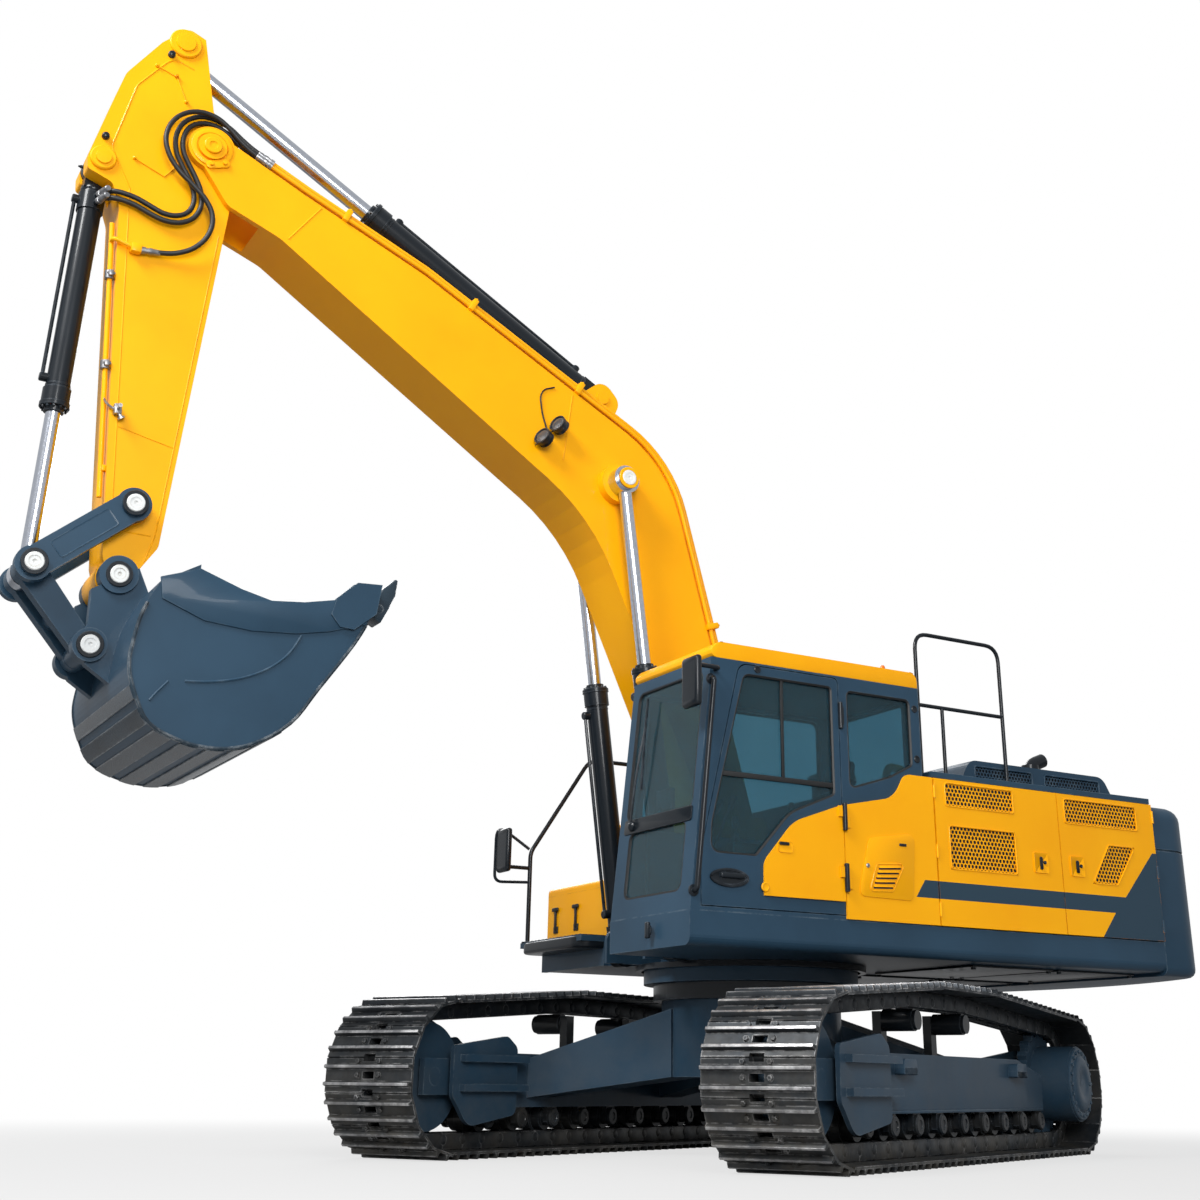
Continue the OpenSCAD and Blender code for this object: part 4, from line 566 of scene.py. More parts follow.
def dress(obj, name, body, slot, angle=35, replaces=(), look=None):
    obj.name = name
    settle(obj)
    obj.data.materials.clear()
    obj.data.materials.append(look or FINISH[slot])
    activate(obj)
    bpy.ops.object.shade_smooth_by_angle(angle=math.radians(angle))
    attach(obj, body)
    for node in replaces:
        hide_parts(node)
    added[name] = sum(len(p.vertices) - 2 for p in obj.data.polygons)
    return obj


print("helpers ready")

# %% [markdown]
# ## Turned shapes, plates and tubes
# Three ways of making a form come back on every machine. A turned shape starts as a ring whose edge
# is extruded and resized step by step along the axis, as on a lathe. A plate starts as a circle with
# one corner for each point of its outline, which is then extruded to its thickness. A tube is a curve
# with a round bevel that is turned into a mesh.

# %% Lathe, plate and tube
def lathe(profile, sides=32, hollow=False):
    clear()
    z, r = profile[0]
    fill = "NOTHING" if hollow else "NGON"
    bpy.ops.mesh.primitive_circle_add(vertices=sides, radius=r, fill_type=fill, location=(0, 0, z))
    obj = settle(bpy.context.object)
    activate(obj)
    bpy.ops.object.mode_set(mode="EDIT")
    bpy.ops.mesh.select_mode(type="EDGE")
    bpy.ops.mesh.select_all(action="SELECT")
    for (z0, r0), (z1, r1) in zip(profile, profile[1:]):
        bpy.ops.mesh.extrude_edges_move(TRANSFORM_OT_translate={"value": (0, 0, z1 - z0)})
        bpy.ops.transform.resize(value=(r1 / r0, r1 / r0, 1), center_override=(0, 0, z1))
    if not hollow:
        bpy.ops.mesh.edge_face_add()
    leave()
    return outward(obj)


def plate(points, thickness, matrix):
    clear()
    bpy.ops.mesh.primitive_circle_add(vertices=len(points), radius=1, fill_type="NGON")
    obj = bpy.context.object
    for corner, (u, v) in zip(obj.data.vertices, points):
        corner.co = (u, v, 0)
    extrude(obj, lambda c, n: True, (0, 0, thickness))
    return outward(settle(obj, matrix))


def tube(points, radius, sides, closed=False, handles=False):
    clear()
    bpy.ops.curve.primitive_bezier_curve_add(radius=1)
    obj = bpy.context.object
    curve = obj.data
    curve.splines.clear()
    spline = curve.splines.new("BEZIER" if handles else "POLY")
    row = spline.bezier_points if handles else spline.points
    row.add(len(points) - 1)
    for knot, p in zip(row, points):
        knot.co = p if handles else (*p, 1)
        if handles:
            knot.handle_left_type = knot.handle_right_type = "AUTO"
    spline.use_cyclic_u = closed
    curve.dimensions = "3D"
    curve.bevel_depth = radius
    curve.bevel_resolution = max(1, sides // 2 - 3)
    curve.resolution_u = 5
    curve.use_fill_caps = True
    obj.location = (0, 0, 0)
    activate(obj)
    bpy.ops.object.convert(target="MESH")
    return outward(settle(bpy.context.object))


def bent(points, bend, steps=6):
    path = [Vector(points[0])]
    for before, here, after in zip(points, points[1:], points[2:]):
        here = Vector(here)
        a, b = Vector(before) - here, Vector(after) - here
        reach = min(bend / math.tan(a.angle(b) / 2), a.length * 0.48, b.length * 0.48)
        a.normalize()
        b.normalize()
        for k in range(steps + 1):
            t = k / steps
            path.append(here + a * reach * (1 - t) ** 2 + b * reach * t ** 2)
    return [tuple(p) for p in path] + [tuple(points[-1])]


def mirrored(obj):
    return outward(copy_of(obj, MIRROR))


def round_row(obj, n, matrix, radius, turn=0.0):
    row = []
    for k in range(n):
        spin = Matrix.Rotation(2 * math.pi * k / n + turn, 4, "Z")
        row.append(copy_of(obj, matrix @ spin @ shift(radius, 0, 0)))
    return row


def frame_at(origin, along, across):
    x = Vector(along).normalized()
    y = Vector(across)
    y = (y - x * y.dot(x)).normalized()
    z = x.cross(y)
    return Matrix.Translation(origin) @ Matrix((x, y, z)).transposed().to_4x4()


def axis_at(origin, direction):
    return Matrix.Translation(origin) @ Vector(direction).to_track_quat("Z", "Y").to_matrix().to_4x4()


def oblong(u0, v0, u1, v1, *radius):
    return [(u, v, *radius) for u, v in ((u0, v0), (u1, v0), (u1, v1), (u0, v1))]


def rounded(points, steps=4):
    row = []
    n = len(points)
    for i, p in enumerate(points):
        here = Vector(p[:2])
        r = p[2] if len(p) > 2 else 0
        if not r:
            row.append(tuple(here))
            continue
        a = (Vector(points[i - 1][:2]) - here).normalized()
        b = (Vector(points[(i + 1) % n][:2]) - here).normalized()
        half = a.angle(b) / 2
        centre = here + (a + b).normalized() * r / math.sin(half)
        first = here + a * r / math.tan(half) - centre
        last = here + b * r / math.tan(half) - centre
        for k in range(steps + 1):
            row.append(tuple(centre + first.slerp(last, k / steps) * r))
    return row


print("lathe, plate and tube ready")

# %% [markdown]
# ## Places on the machine
# The joints of the frame give every pin, so the pieces take their places from there. The boom and the
# arm have frames of their own: along the line between their pins, across, and square to both.

# %% Pins and frames
SLEW = 28
joint = {j["name"]: j for j in frame["record"]["behaviour"]["joints"]}
pin = {name: Vector(j["pos_m"]) for name, j in joint.items() if "pos_m" in j}
foot, nose, hook = pin["boom_lift"], pin["arm_swing"], pin["bucket_curl"]
rocker_pin, link_pin = pin["rocker"], pin["link"]
boom_frame = frame_at(foot, nose - foot, (0, 1, 0))
arm_frame = frame_at(nose, hook - nose, (0, 1, 0))
under_frame = spun(SLEW, "Z")
world_frame = Matrix.Identity(4)
bucket_frame = Matrix.Translation(hook)
UPRIGHT = Matrix(((1, 0, 0, 0), (0, 0, 1, 0), (0, 1, 0, 0), (0, 0, 0, 1)))
MIRROR = Matrix.Scale(-1, 4, (0, 1, 0))


def beside(base, y):
    return base @ shift(0, y, 0) @ UPRIGHT


print("boom", round((nose - foot).length, 3), "arm", round((hook - nose).length, 3))

# %% [markdown]
# ## Hoses at the boom's nose
# Three hoses leave the ends of the boom's pipes, swing in a wide S past the nose pin and end on the
# arm's pipe and on the bucket cylinder. A hose is a fixed length of reinforced rubber, so each is one
# smooth tube through its own points, bent in wide curves.

# %% Three hoses
HOSE_R = 0.018
HOSE_ROUTES = {
    "arm_hose_pipe": [
        (4.205, 0.25, 6.503), (4.265, 0.25, 6.53), (4.34, 0.251, 6.568), (4.42, 0.254, 6.622),
        (4.5, 0.258, 6.69), (4.59, 0.262, 6.742), (4.69, 0.266, 6.755), (4.79, 0.27, 6.725),
        (4.87, 0.276, 6.655), (4.92, 0.284, 6.555), (4.93, 0.288, 6.445), (4.89, 0.29, 6.33),
        (4.815, 0.29, 6.235), (4.72, 0.29, 6.16), (4.625, 0.29, 6.08), (4.56, 0.288, 5.985),
        (4.545, 0.284, 5.875), (4.58, 0.272, 5.765), (4.655, 0.256, 5.68), (4.755, 0.236, 5.63),
        (4.855, 0.224, 5.611), (4.93, 0.22, 5.604), (4.975, 0.22, 5.6)],
    "arm_hose_lower": [
        (4.205, 0.213, 6.503), (4.265, 0.213, 6.53), (4.34, 0.213, 6.568), (4.42, 0.213, 6.618),
        (4.505, 0.214, 6.675), (4.6, 0.217, 6.703), (4.695, 0.222, 6.69), (4.77, 0.228, 6.63),
        (4.803, 0.232, 6.535), (4.793, 0.234, 6.43), (4.745, 0.236, 6.335), (4.685, 0.236, 6.24),
        (4.637, 0.236, 6.14), (4.625, 0.236, 6.03), (4.665, 0.236, 5.93), (4.75, 0.236, 5.868),
        (4.86, 0.234, 5.857), (4.965, 0.23, 5.885), (5.055, 0.227, 5.918), (5.138, 0.225, 5.932),
        (5.198, 0.213, 5.937), (5.247, 0.177, 5.938), (5.273, 0.133, 5.938), (5.278, 0.114, 5.938)],
    "arm_hose_upper": [
        (4.185, 0.213, 6.549), (4.245, 0.213, 6.576), (4.32, 0.213, 6.613), (4.4, 0.213, 6.662),
        (4.49, 0.214, 6.722), (4.6, 0.217, 6.755), (4.715, 0.222, 6.738), (4.808, 0.228, 6.662),
        (4.853, 0.232, 6.545), (4.84, 0.234, 6.41), (4.788, 0.236, 6.308), (4.73, 0.236, 6.22),
        (4.688, 0.236, 6.13), (4.678, 0.236, 6.04), (4.708, 0.236, 5.962), (4.775, 0.236, 5.916),
        (4.865, 0.234, 5.908), (4.96, 0.23, 5.94), (5.05, 0.227, 5.972), (5.138, 0.225, 5.986),
        (5.198, 0.213, 5.99), (5.247, 0.177, 5.99), (5.273, 0.133, 5.99), (5.278, 0.114, 5.99)],
}
HOSE_NAMES = {"arm_hose_pipe": "hose_to_pipe", "arm_hose_lower": "hose_to_lower_port",
              "arm_hose_upper": "hose_to_upper_port"}


def flowing(points, steps=4):
    ends = [points[0]] + list(points) + [points[-1]]
    row = []
    for a, b, c, d in zip(ends, ends[1:], ends[2:], ends[3:]):
        a, b, c, d = Vector(a), Vector(b), Vector(c), Vector(d)
        for k in range(steps):
            t = k / steps
            square, cube = 2 * a - 5 * b + 4 * c - d, 3 * b - a - 3 * c + d
            row.append((2 * b + (c - a) * t + square * t ** 2 + cube * t ** 3) / 2)
    return [tuple(p) for p in row] + [tuple(points[-1])]


for node, route in HOSE_ROUTES.items():
    line = flowing(route)
    hose = tube(line, HOSE_R, 14)
    hose.name = HOSE_NAMES[node]
    hose.data.materials.append(FINISH["hose_rubber"])
    activate(hose)
    bpy.ops.object.shade_smooth()
    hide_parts(node)
    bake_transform(hose)

# %% [markdown]
# ## Tracks
# A track is a chain of forged links with a shoe bolted on each. The shoe is a rolled plate with two
# bars that bite the ground, a window that lets mud out, and four bolts. One shoe is modelled by hand
# and copied round the belt line, which runs over the idler, two carrier rollers and the sprocket.

# %% One shoe
PITCH_N, TRACK_Y = 54, 1.37
SHOE_W, SHOE_T, BAR_H, LINK_H = 0.7, 0.016, 0.03, 0.105
WHEELS = [(-2.05, 0.486, 0.456), (2.05, 0.486, 0.456), (0.533, 0.85, 0.196), (-0.3075, 0.85, 0.196)]


def belt_steps(wheels):
    steps = []
    for i, (x0, z0, r0) in enumerate(wheels):
        x1, z1, r1 = wheels[(i + 1) % len(wheels)]
        gap = math.hypot(x1 - x0, z1 - z0)
        way = math.atan2(z1 - z0, x1 - x0) % (2 * math.pi) + math.asin((r0 - r1) / gap)
        steps.append((way, math.sqrt(gap ** 2 - (r0 - r1) ** 2)))
    return steps


def belt_place(wheels, steps, s):
    n = len(wheels)
    while True:
        for i in range(n):
            way, straight = steps[i]
            x0, z0, r0 = wheels[i]
            if s <= straight:
                return (x0 + r0 * math.sin(way) + s * math.cos(way),
                        z0 - r0 * math.cos(way) + s * math.sin(way)), way
            s -= straight
            x1, z1, r1 = wheels[(i + 1) % n]
            sweep = (steps[(i + 1) % n][0] - way) % (2 * math.pi)
            if s <= r1 * sweep:
                way += s / r1
                return (x1 + r1 * math.sin(way), z1 - r1 * math.cos(way)), way
            s -= r1 * sweep


steps = belt_steps(WHEELS)
belt_length = sum(straight for _, straight in steps)
for i in range(len(WHEELS)):
    after = WHEELS[(i + 1) % len(WHEELS)][2]
    belt_length += after * ((steps[(i + 1) % len(WHEELS)][0] - steps[i][0]) % (2 * math.pi))
PITCH = belt_length / PITCH_N


def hex_bolt(radius, height):
    return lathe([(0, radius), (height * 0.8, radius), (height, radius * 0.8)], 6)


def shoe():
    sheet = block((-PITCH * 0.49, -SHOE_W / 2, -SHOE_T), (PITCH * 0.49, SHOE_W / 2, 0))
    windows = [block((x - 0.021, -0.046, -0.1), (x + 0.021, 0.046, 0.1)) for x in (-PITCH / 2, 0, PITCH / 2)]
    cutter = joined(windows)
    apply_modifier(sheet, "BOOLEAN", object=cutter, operation="DIFFERENCE", solver="EXACT")
    drop(cutter)
    parts = [sheet]
    for x in (-PITCH / 4, PITCH / 4):
        rib = block((x - 0.0143, -SHOE_W / 2, -0.002), (x + 0.0143, SHOE_W / 2, 0.004))
        extrude(rib, lambda c, n: n.z > 0.9, (0, 0, BAR_H - 0.004))
        pick(rib, lambda c, n: n.z > 0.9)
        bpy.ops.transform.resize(value=(0.62, 0.985, 1))
        leave()
        parts.append(soften(rib, 0.003, 2, 40))
    parts += copies(hex_bolt(0.017, 0.016), [shift(x, y, 0) for x in (0, PITCH * 0.4)
                                             for y in (0.085, -0.085)])
    for y in (-0.074, 0.074):
        link = block((-PITCH * 0.53, y - 0.026, -SHOE_T - LINK_H), (PITCH * 0.47, y + 0.026, -SHOE_T))
        extrude(link, lambda c, n: n.x > 0.9, (0.02, math.copysign(0.004, y), 0), 0.7)
        parts.append(soften(link, 0.016, 2, 40))
    bush = lathe([(-0.105, 0.02), (-0.1, 0.03), (0.1, 0.03), (0.105, 0.02)], 12)
    parts.append(settle(bush, shift(PITCH / 2, 0, -SHOE_T - 0.062) @ spun(90, "X")))
    return joined(parts)


def bar_tips():
    tips = [block((x - 0.0086, 0.008 - SHOE_W / 2, BAR_H - 0.002),
                  (x + 0.0086, SHOE_W / 2 - 0.008, BAR_H + 0.0004))
            for x in (-PITCH / 4, PITCH / 4)]
    return joined([soften(t, 0.0006) for t in tips])


one_shoe, one_tip = shoe(), bar_tips()
print("belt", round(belt_length, 3), "m, pitch", round(PITCH, 4), "m")

# %% Both tracks
def track(model, side):
    copies = []
    for n in range(PITCH_N):
        (x, z), way = belt_place(WHEELS, steps, (n + 0.5) * PITCH)
        along = (math.cos(way), 0, math.sin(way))
        place = frame_at((x, side * TRACK_Y, z), along, (0, -1, 0))
        copies.append(copy_of(model, under_frame @ place))
    return joined(copies)


for name, side in (("left", 1), ("right", -1)):
    piece = dress(track(one_shoe, side), "track_shoes_" + name, "undercarriage", "track_steel", 30,
                  ["track_" + name])
    dress(track(one_tip, side), "track_bar_tips_" + name, "undercarriage", "track_steel", look=rubbed_steel)
    print(piece.name, added[piece.name], "triangles")
drop(one_shoe)
drop(one_tip)

# %% [markdown]
# ## Steel pipes and fittings
# Oil runs in steel pipes along the boom's upper edge and down the front of the arm. A pipe is bent
# cold from one length, so its bends are round. The line of each pipe is the boom's outline moved
# outwards, with an arc at every corner, and clamp blocks with two bolts hold the pipes to the plate.

# %% Outline of the boom and pipe lines
BOOM_L, BOOM_H = 6.44, 1.59
BOOM_TOP = [(1.288, 0.8606), (2.6958, 1.59, 0.96), (4.9002, 0.815, 1.2), (5.8346, 0.3896, 0.4)]


def moved_out(points, lift):
    row = []
    for i, p in enumerate(points):
        here = Vector(p[:2])
        before = (here - Vector(points[i - 1][:2])).normalized() if i else None
        after = (Vector(points[i + 1][:2]) - here).normalized() if i + 1 < len(points) else None
        way = (before or after) + (after or before)
        way.normalize()
        stretch = lift / way.dot(before or after)
        row.append((here.x - way.y * stretch, here.y + way.x * stretch, *p[2:]))
    return row


def in_boom(route_point):
    local = boom_frame.inverted() @ Vector(route_point)
    return (local.x, local.z)


pipes = []
for node, lift in (("arm_hose_pipe", 0.03), ("arm_hose_lower", 0.03), ("arm_hose_upper", 0.08)):
    end = HOSE_ROUTES[node][0]
    flat = rounded(moved_out(BOOM_TOP, lift) + [in_boom(end)], 8)
    pipes.append(tube([boom_frame @ Vector((u, end[1], v)) for u, v in flat], 0.017, 12))
print("boom pipes", len(pipes))

# %% Clamps and fittings
def clamp(width, height, wide):
    body = soften(block((-wide / 2, -width / 2, 0.0005), (wide / 2, width / 2, height)), 0.006, 2, 40)
    bolts = copies(hex_bolt(0.011, 0.012), [shift(0, y, height) for y in (-width * 0.3, width * 0.3)])
    return joined([body] + bolts)


def union_nut(bore):
    turned = [(0, 0.95), (0.002, 1.5), (0.03, 1.5), (0.032, 1.2), (0.05, 1.2), (0.052, 1.42), (0.075, 1.42),
              (0.08, 1.28), (0.125, 1.22), (0.13, 1.02)]
    return lathe([(z, bore * k) for z, k in turned], 12)


def on_boom_top(share, y):
    for a, b in zip(BOOM_TOP, BOOM_TOP[1:]):
        if a[0] <= share * BOOM_L <= b[0]:
            run, rise = b[0] - a[0], b[1] - a[1]
            t = (share * BOOM_L - a[0]) / run
            slope = Matrix.Rotation(-math.atan2(rise, run), 4, "Y")
            return boom_frame @ shift(a[0] + t * run, y, a[1] + t * rise) @ slope


pipes += copies(clamp(0.086, 0.1, 0.044), [on_boom_top(share, 0.2315) for share in (0.24, 0.55, 0.7, 0.86)])
dress(joined(pipes), "boom_pipe_runs", "boom", "yellow_paint", 40, ["boom_pipes"])

nut = union_nut(0.0172)
nuts = {"boom": [], "arm": []}
for route in HOSE_ROUTES.values():
    a, b, c, d = (Vector(route[k]) for k in (0, 1, -2, -1))
    nuts["boom"].append(copy_of(nut, axis_at(a - (b - a).normalized() * 0.04, b - a)))
    nuts["arm"].append(copy_of(nut, axis_at(d + (d - c).normalized() * 0.002, c - d)))
drop(nut)
for body, row in nuts.items():
    dress(joined(row), "hose_nuts_" + body, body, "chrome_rod", 30, look=rubbed_steel)
print("fittings", 2 * len(HOSE_ROUTES))

# %% [markdown]
# ## Arm pipe
# One pipe runs down the front edge of the arm in bright ring clamps. A branch from its top bends
# round the arm's edge to the block where the first hose ends, and a small valve sits at its lower
# end.

# %% Pipe, rings and valve
ARM_L, ARM_H = 3.18, 0.775
ARM_EDGE = [(0.2 * ARM_L, 0.655 * ARM_H), (0.96 * ARM_L, 0.14 * ARM_H)]


PIPE_Y, PIPE_LIFT = 0.15, 0.03


def on_arm_edge(share, y, lift=0.0):
    (u0, v0), (u1, v1) = ARM_EDGE
    t = (share * ARM_L - u0) / (u1 - u0)
    slope = Matrix.Rotation(-math.atan2(v1 - v0, u1 - u0), 4, "Y")
    return arm_frame @ shift(u0 + t * (u1 - u0), y, v0 + t * (v1 - v0)) @ slope @ shift(0, 0, lift)


def on_pipe(share):
    return on_arm_edge(share, PIPE_Y, PIPE_LIFT)


block_end = Vector(HOSE_ROUTES["arm_hose_pipe"][-1])
arm_run = [tube([on_pipe(0.24).translation, on_pipe(0.84).translation], 0.017, 12)]
bend_at = on_arm_edge(0.2835, 0.0, PIPE_LIFT)
branch = [block_end + Vector((0.03, 0, 0)), bend_at @ Vector((0, 0.22, 0)), bend_at @ Vector((0, PIPE_Y, 0))]
arm_run.append(tube(bent(branch, 0.03), 0.015, 12))
fit_block = soften(block((-0.036, 0.1903, -0.032), (0.034, 0.252, 0.032)), 0.008, 2, 40)
arm_run.append(settle(fit_block, shift(block_end.x + 0.035, 0, block_end.z)))
saddle = soften(block((-0.02, -0.022, 0.0005), (0.02, 0.022, 0.028)), 0.004, 2, 40)
arm_run += copies(saddle, [on_arm_edge(share, PIPE_Y) for share in (0.36, 0.56, 0.78)])
dress(joined(arm_run), "arm_pipe_run", "arm", "yellow_paint", 40, ["arm_pipes"])

ring = lathe([(-0.03, 0.0175), (-0.03, 0.03), (-0.026, 0.033), (0.026, 0.033), (0.03, 0.03), (0.03, 0.0175),
              (-0.03, 0.0175)], 20, True)
lug = soften(block((-0.02, 0.028, -0.014), (0.02, 0.058, 0.014)), 0.004, 2, 40)
bolt = hex_bolt(0.01, 0.05)
rings = []
for place in (on_pipe(0.36), on_pipe(0.56)):
    rings += [copy_of(ring, place @ spun(90, "Y")), copy_of(lug, place),
              copy_of(bolt, place @ shift(0, 0.044, -0.026))]
valve = on_arm_edge(0.66, 0.19, -0.045)
stem = lathe([(0, 0.012), (0.03, 0.012), (0.032, 0.02), (0.05, 0.02), (0.052, 0.013), (0.085, 0.013),
              (0.087, 0.024), (0.1, 0.024)], 10)
rings.append(copy_of(stem, valve @ spun(115, "Y") @ shift(0, 0.028, -0.03)))
rings.append(settle(soften(block((-0.035, 0.0, -0.024), (0.035, 0.052, 0.024)), 0.008, 2, 40), valve))
rings.append(copy_of(stem, valve @ shift(0, 0.05, 0) @ spun(-90, "X") @ Matrix.Scale(0.6, 4)))
feeder = [valve @ Vector((0, 0.026, 0.02)), valve @ Vector((-0.03, 0.02, 0.06)), on_pipe(0.63).translation]
rings.append(tube(feeder, 0.008, 8, handles=True))
for o in (ring, lug, bolt, stem):
    drop(o)
dress(joined(rings), "arm_pipe_rings", "arm", "chrome_rod", 30, look=rubbed_steel)
print("arm pipe dressed")

# %% [markdown]
# ## Cylinders
# A hydraulic cylinder shows where it is screwed together: the gland at the mouth is a flange with a
# ring of bolts, the eye is welded on with a bead, and an oil pipe lies along the barrel from one port
# to the other. All of them are the same set of turned shapes in different sizes, so one function
# dresses each barrel.

# %% Dress the barrels
FLANGE = [(-0.034, 0.66), (-0.034, 1.17), (-0.03, 1.24), (-0.004, 1.24), (0, 1.2), (0, 0.66), (-0.034, 0.66)]
LIP = [(0, 0.655), (0, 0.86), (0.03, 0.82), (0.034, 0.655), (0, 0.655)]
BEAD = [(-1, 0.97), (-0.6, 1.035), (0.6, 1.035), (1, 0.97), (-1, 0.97)]
GREASE_NIPPLE = [(0, 0.012), (0.012, 0.012), (0.02, 0.007), (0.028, 0.007)]


def dress_barrel(name, body, p, q, y, r, length, eye, side):
    base = frame_at(p, q - p, (0, 1, 0)) @ shift(0, y, 0)
    along = base @ spun(90, "Y")
    upward = spun(0 if side > 0 else 180, "X")
    neck, lift = eye * 1.7, r + 0.03
    parts = [settle(lathe([(length + z, r * k) for z, k in profile], sides, True), along)
             for profile, sides in ((FLANGE, 36), (LIP, 32))]
    for at, wide in ((length - 0.13, 0.014), (neck + 0.006, 0.02), (length - 0.155, 0.01)):
        parts.append(settle(lathe([(at + wide * z, r * k) for z, k in BEAD], 36, True), along))
    bolt = hex_bolt(r * 0.11, r * 0.16)
    parts += round_row(bolt, 12, along @ shift(0, 0, length), r * 1.03, 0.2)
    drop(bolt)
    ports = (neck + 0.09, length - 0.2)
    for at in ports:
        boss = lathe([(0, 0.03), (lift + 0.012, 0.03), (lift + 0.018, 0.024)], 16)
        parts.append(settle(boss, base @ shift(at, 0, 0) @ upward))
    parts.append(tube([base @ Vector((at, 0, side * lift)) for at in ports], 0.013, 10))
    parts.append(settle(lathe(GREASE_NIPPLE, 10), base @ shift(0, 0, side * eye * 0.99) @ upward))
    dress(joined(parts), name, body, "black_paint")


knee = boom_frame @ Vector((0.436 * BOOM_L, 0, 0.682 * BOOM_H))
ram_foot = Vector((0.858, 0, 1.33))
arm_ram_base = boom_frame @ Vector((0.527 * BOOM_L, 0, 0.985 * BOOM_H))
arm_head = arm_frame @ Vector((-0.246 * ARM_L, 0, 0.42 * ARM_H))
dig_base = arm_frame @ Vector((0.105 * ARM_L, 0, 0.875 * ARM_H))
for side, y in (("left", 0.372), ("right", -0.372)):
    dress_barrel("boom_ram_fittings_" + side, "boom_barrel_" + side, ram_foot, knee, y, 0.08, 1.9, 0.105, -1)
dress_barrel("arm_ram_fittings", "arm_barrel", arm_ram_base, arm_head, 0, 0.098, 2.24, 0.115, 1)
dress_barrel("bucket_ram_fittings", "bucket_barrel", dig_base, link_pin, 0, 0.078, 1.78, 0.095, 1)
print("barrels", len([n for n in added if n.endswith("_ram_fittings") or "_ram_fittings_" in n]))

# %% [markdown]
# ## Pins
# The pins of the linkage end in bright discs with a dark ring round them. Each disc is turned with a
# small centre hole and a chamfer, and sits on the cap of its pin on both sides of the machine.

# %% Pin ends
PIN_R = 0.058
PIN_END = [(-0.004, 1), (0.012, 1), (0.016, 0.93), (0.016, 0.62), (0.013, 0.6), (0.013, 0.2), (0.008, 0.16)]
PIN_RING = [(-0.004, 1), (0.004, 1.42), (0.009, 1.42), (0.013, 1.36), (0.013, 1.02), (-0.004, 1)]


def on_both_sides(obj, place, y):
    return [copy_of(obj, axis_at((place.x, s * y, place.z), (0, s, 0))) for s in (1, -1)]


fall = math.radians(-76)
link_low = hook + 0.474 * Vector((math.cos(fall), 0, math.sin(fall)))
disc = lathe([(z, PIN_R * k) for z, k in PIN_END], 32)
collar = lathe([(z, PIN_R * k) for z, k in PIN_RING], 32, True)
for name, body, place, y in (("rocker", "rocker", rocker_pin, 0.311), ("joint", "rocker", link_pin, 0.311),
                             ("link", "bucket", link_low, 0.288), ("bucket", "bucket", hook, 0.288)):
    dress(joined(on_both_sides(disc, place, y)), "pin_ends_" + name, body, "chrome_rod", 30, look=white_cap)
    dress(joined(on_both_sides(collar, place, y)), "pin_rings_" + name, body, "black_paint", 30)
for side, s in (("left", 1), ("right", -1)):
    place = axis_at((knee.x, s * 0.45, knee.z), (0, s, 0))
    dress(copy_of(disc, place), "pin_end_knee_" + side, "boom_rod_" + side, "chrome_rod", 30, look=white_cap)
    dress(copy_of(collar, place), "pin_ring_knee_" + side, "boom_rod_" + side, "yellow_paint", 30)
drop(disc)
drop(collar)
print("pin ends", len([n for n in added if n.startswith("pin_")]))

# %% [markdown]
# ## Boom details
# Two round work lamps sit on a bracket on each side of the boom. The nose pin is held by a keeper
# plate with two bolts, and the boom's plates are joined by long welds that show as thin beads on its
# sides.

# %% Work lamps
LAMP_SHELL = [(0, 0.028), (0.012, 0.05), (0.045, 0.064), (0.075, 0.068), (0.083, 0.068), (0.083, 0.058),
              (0.074, 0.054)]
LAMP_LENS = [(0.073, 0.054), (0.078, 0.05), (0.083, 0.03), (0.084, 0.01)]
FIN = [(0.014, 0.045), (0.015, 0.064), (0.019, 0.064), (0.02, 0.045)]
CABLE = [(0.536, 0.255, 0.55), (0.56, 0.253, 0.6), (0.575, 0.252, 0.66), (0.571, 0.252, 0.73)]
BOOM_HALF = 0.245


def on_boom(u, y, v):
    return boom_frame @ shift(u * BOOM_L, y, v * BOOM_H)


fins = [lathe([(z + k * 0.011, r) for z, r in FIN], 24) for k in range(5)]
lamp_shell, lamp_lens = joined([lathe(LAMP_SHELL, 28)] + fins), lathe(LAMP_LENS, 24)
shells, lenses = [], []
for s in (1, -1):
    for u, v in ((0.531, 0.6), (0.53, 0.49)):
        place = on_boom(u, s * 0.31, v)
        facing = place @ axis_at((0, 0, 0), (1.0, s * 0.45, -0.5)) @ shift(0, 0, -0.045)
        shells.append(copy_of(lamp_shell, facing))
        lenses.append(copy_of(lamp_lens, facing))
        foot_plate = soften(block((-0.035, 0, -0.03), (0.035, 0.01, 0.03)), 0.003, 2, 40)
        shells.append(settle(foot_plate, on_boom(u, BOOM_HALF if s > 0 else -BOOM_HALF - 0.01, v)))
        for w in (-0.05, 0.05):
            bar = [(0, -s * 0.062, w * 0.4), (0, -s * 0.045, w * 1.45), (0, 0, w * 1.45)]
            shells.append(tube(bent([place @ Vector(p) for p in bar], 0.015, 3), 0.006, 8))
    shells.append(tube([on_boom(u, s * y, v).translation for u, y, v in CABLE], 0.006, 8, handles=True))
drop(lamp_shell)
drop(lamp_lens)
dress(joined(shells), "work_lamps", "boom", "black_paint", 35, ["boom_lamps"])
dress(joined(lenses), "work_lamp_lenses", "boom", "tinted_glass", look=lamp_glass)
print("work lamps", len(lenses))

# %% Nose pin, keeper and welds
def keeper(length, width, thick):
    outline = rounded(oblong(-length / 2, -width / 2, length / 2, width / 2, width * 0.45), 5)
    parts = [soften(plate(outline, thick, world_frame), 0.003, 2, 40)]
    parts += copies(hex_bolt(0.016, 0.014), [shift(x, 0, thick) for x in (-length * 0.28, length * 0.28)])
    return joined(parts)


